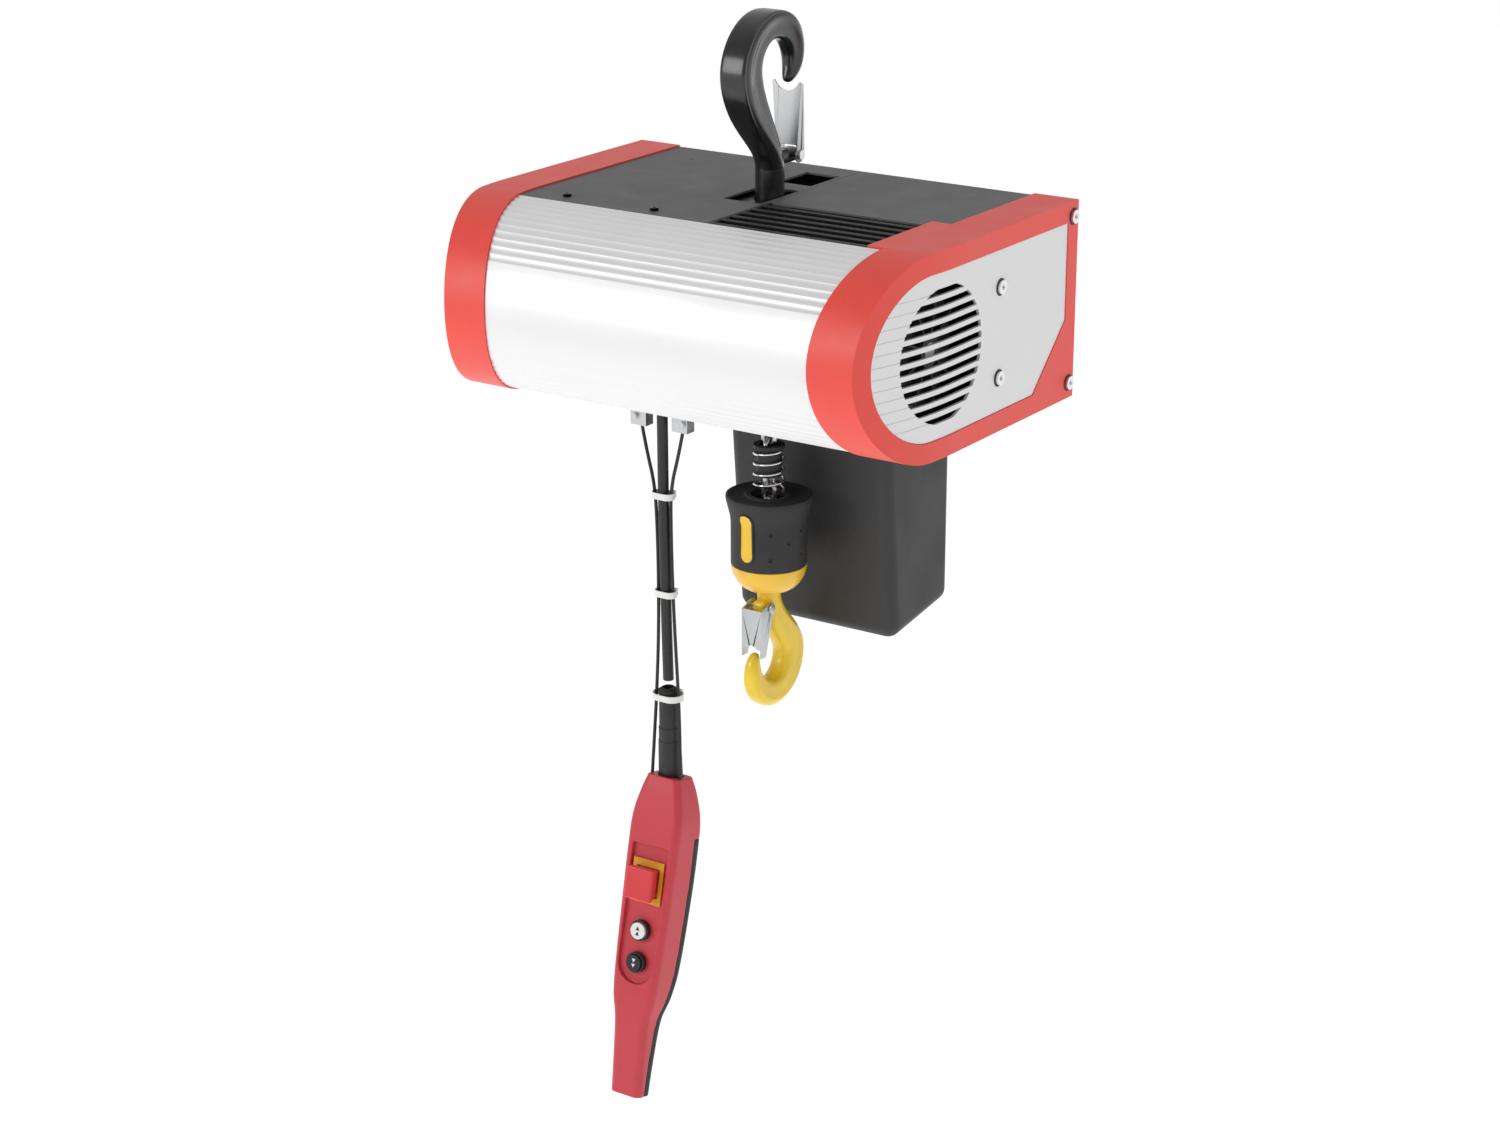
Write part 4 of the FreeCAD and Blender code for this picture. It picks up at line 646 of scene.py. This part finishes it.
def triangle(face, down, way):
    """Small raised triangle on a button's face, pointing up for way 1 or down for way -1."""
    half_base, half_height = 2.3, 4.6 * 0.42
    corners = [(-half_base, -half_height), (half_base, -half_height), (0, half_height)]
    return loft([[(x, y, -down + way * z) for x, z in corners] for y in (face - 0.18, face + 0.4)])


for word, material, slot, face, down, way in (("up", BLACK_BUTTON, "button_black", -28.3, 157, 1),
                                              ("down", WHITE, "button_white", -29.2, 190, -1)):
    marks = gather([triangle(face, down + shift, way) for shift in (-2.6, 2.6)])
    add_piece(word + "_button_arrows", marks, material, word + "_button", slot, place=PENDANT)


# ---------------------------------------------------------------- cords
CABLE_ROUTE = [(-71, -78, -343), (-71, -77.6, -436), (-71, -75.4, -532), (-71, -71.6, -628)]
WIRE_ROUTE = [(24, -78, -368), (19, -78.2, -392), (9.4, -78.2, -427), (8.1, -76.6, -470), (8.3, -75.0, -530),
              (10.2, -73.6, -590), (13.2, -73.4, -645), (15.4, -74.6, -688), (17, -76.8, -729)]
CABLE_LENGTH, CABLE_DIAMETER = 0.2851, 0.0108
WIRE_LENGTH, WIRE_DIAMETER = 0.3630, 0.0034


def cord(name, route, diameter, node):
    """Line along the route, which rides on the pendant and stands for the node."""
    curve = bpy.data.curves.new(name, "CURVE")
    curve.dimensions = "3D"
    curve.bevel_depth = diameter / 2
    curve.bevel_resolution = 6
    curve.resolution_u = 24
    curve.use_fill_caps = True
    line = curve.splines.new("NURBS")
    line.points.add(len(route) - 1)
    for point, spot in zip(line.points, route):
        point.co = (*[c * MM for c in spot], 1)
    line.order_u = 3
    line.use_endpoint_u = True
    curve.materials.append(CABLE)
    piece = bpy.data.objects.new(name, curve)
    bpy.context.scene.collection.objects.link(piece)
    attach(piece, "pendant")
    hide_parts(node)


cord("pendant_cable", CABLE_ROUTE, CABLE_DIAMETER, "control_cable")
for side, word in ((-1, "left"), (1, "right")):
    route = [(-71 + side * x, y, z) for x, y, z in WIRE_ROUTE]
    cord("strain_wire_" + word + "_line", route, WIRE_DIAMETER, "strain_wire_" + word)


# ---------------------------------------------------------------- stage, in metres
FLOOR_HALF, FLOOR_HEIGHT, FLOOR_GLOW = 30, -2.2, 0.5
SKY_BEHIND_CAMERA, SKY_BEHIND_OBJECT = 0.42, 0.62
LAMP_TARGET = Vector((0, -0.05, -0.4))
# (name, place, size, power in watts)
LAMPS = (("key", (-1.7, -2.9, 0.7), 1.6, 36), ("fill", (2.8, -1.2, 0.9), 1.4, 4),
         ("top", (0.2, 0.3, 2.6), 1.8, 5))


def studio():
    world = bpy.data.worlds.new("Studio")
    world.use_nodes = True
    tree = world.node_tree
    tree.nodes["Background"].inputs["Color"].default_value = (1, 1, 1, 1)
    # A little dimmer behind the camera, so that metal has something to mirror.
    place = tree.nodes.new("ShaderNodeTexCoord")
    split = tree.nodes.new("ShaderNodeSeparateXYZ")
    tree.links.new(place.outputs["Generated"], split.inputs["Vector"])
    strength = ranged(tree, split.outputs["Y"], SKY_BEHIND_CAMERA, SKY_BEHIND_OBJECT, -0.4, 0.4)
    tree.links.new(strength, tree.nodes["Background"].inputs["Strength"])
    bpy.context.scene.world = world
    bpy.context.scene.view_settings.view_transform = "Standard"
    floor_mesh = bpy.data.meshes.new("floor")
    corners = [(x * FLOOR_HALF, y * FLOOR_HALF, FLOOR_HEIGHT)
               for x, y in ((-1, -1), (1, -1), (1, 1), (-1, 1))]
    floor_mesh.from_pydata(corners, [], [(0, 1, 2, 3)])
    floor = bpy.data.objects.new("floor", floor_mesh)
    bpy.context.scene.collection.objects.link(floor)
    pale = new_material("pale_floor", (0.96, 0.96, 0.96), 0.9)
    shader = pale.node_tree.nodes["Principled BSDF"]
    shader.inputs["Emission Color"].default_value = (1, 1, 1, 1)
    shader.inputs["Emission Strength"].default_value = FLOOR_GLOW
    floor_mesh.materials.append(pale)
    for name, spot, size, power in LAMPS:
        light = bpy.data.lights.new(name, "AREA")
        light.size = size
        light.energy = power
        lamp = bpy.data.objects.new(name, light)
        lamp.location = spot
        lamp.rotation_euler = (LAMP_TARGET - Vector(spot)).to_track_quat("-Z", "Y").to_euler()
        bpy.context.scene.collection.objects.link(lamp)


SENSOR_MM, LENS_MM = 36, 74.806
CAMERA_SPOT, CAMERA_DOWN, CAMERA_TURN = (1.5831, -2.4090, 0.4875), 19.15, 33.68


def camera():
    data = bpy.data.cameras.new("Camera")
    data.sensor_width = SENSOR_MM
    data.lens = LENS_MM
    view = bpy.data.objects.new("Camera", data)
    view.location = CAMERA_SPOT
    view.rotation_euler = (math.radians(90 - CAMERA_DOWN), 0, math.radians(CAMERA_TURN))
    bpy.context.scene.collection.objects.link(view)
    bpy.context.scene.camera = view


studio()
camera()
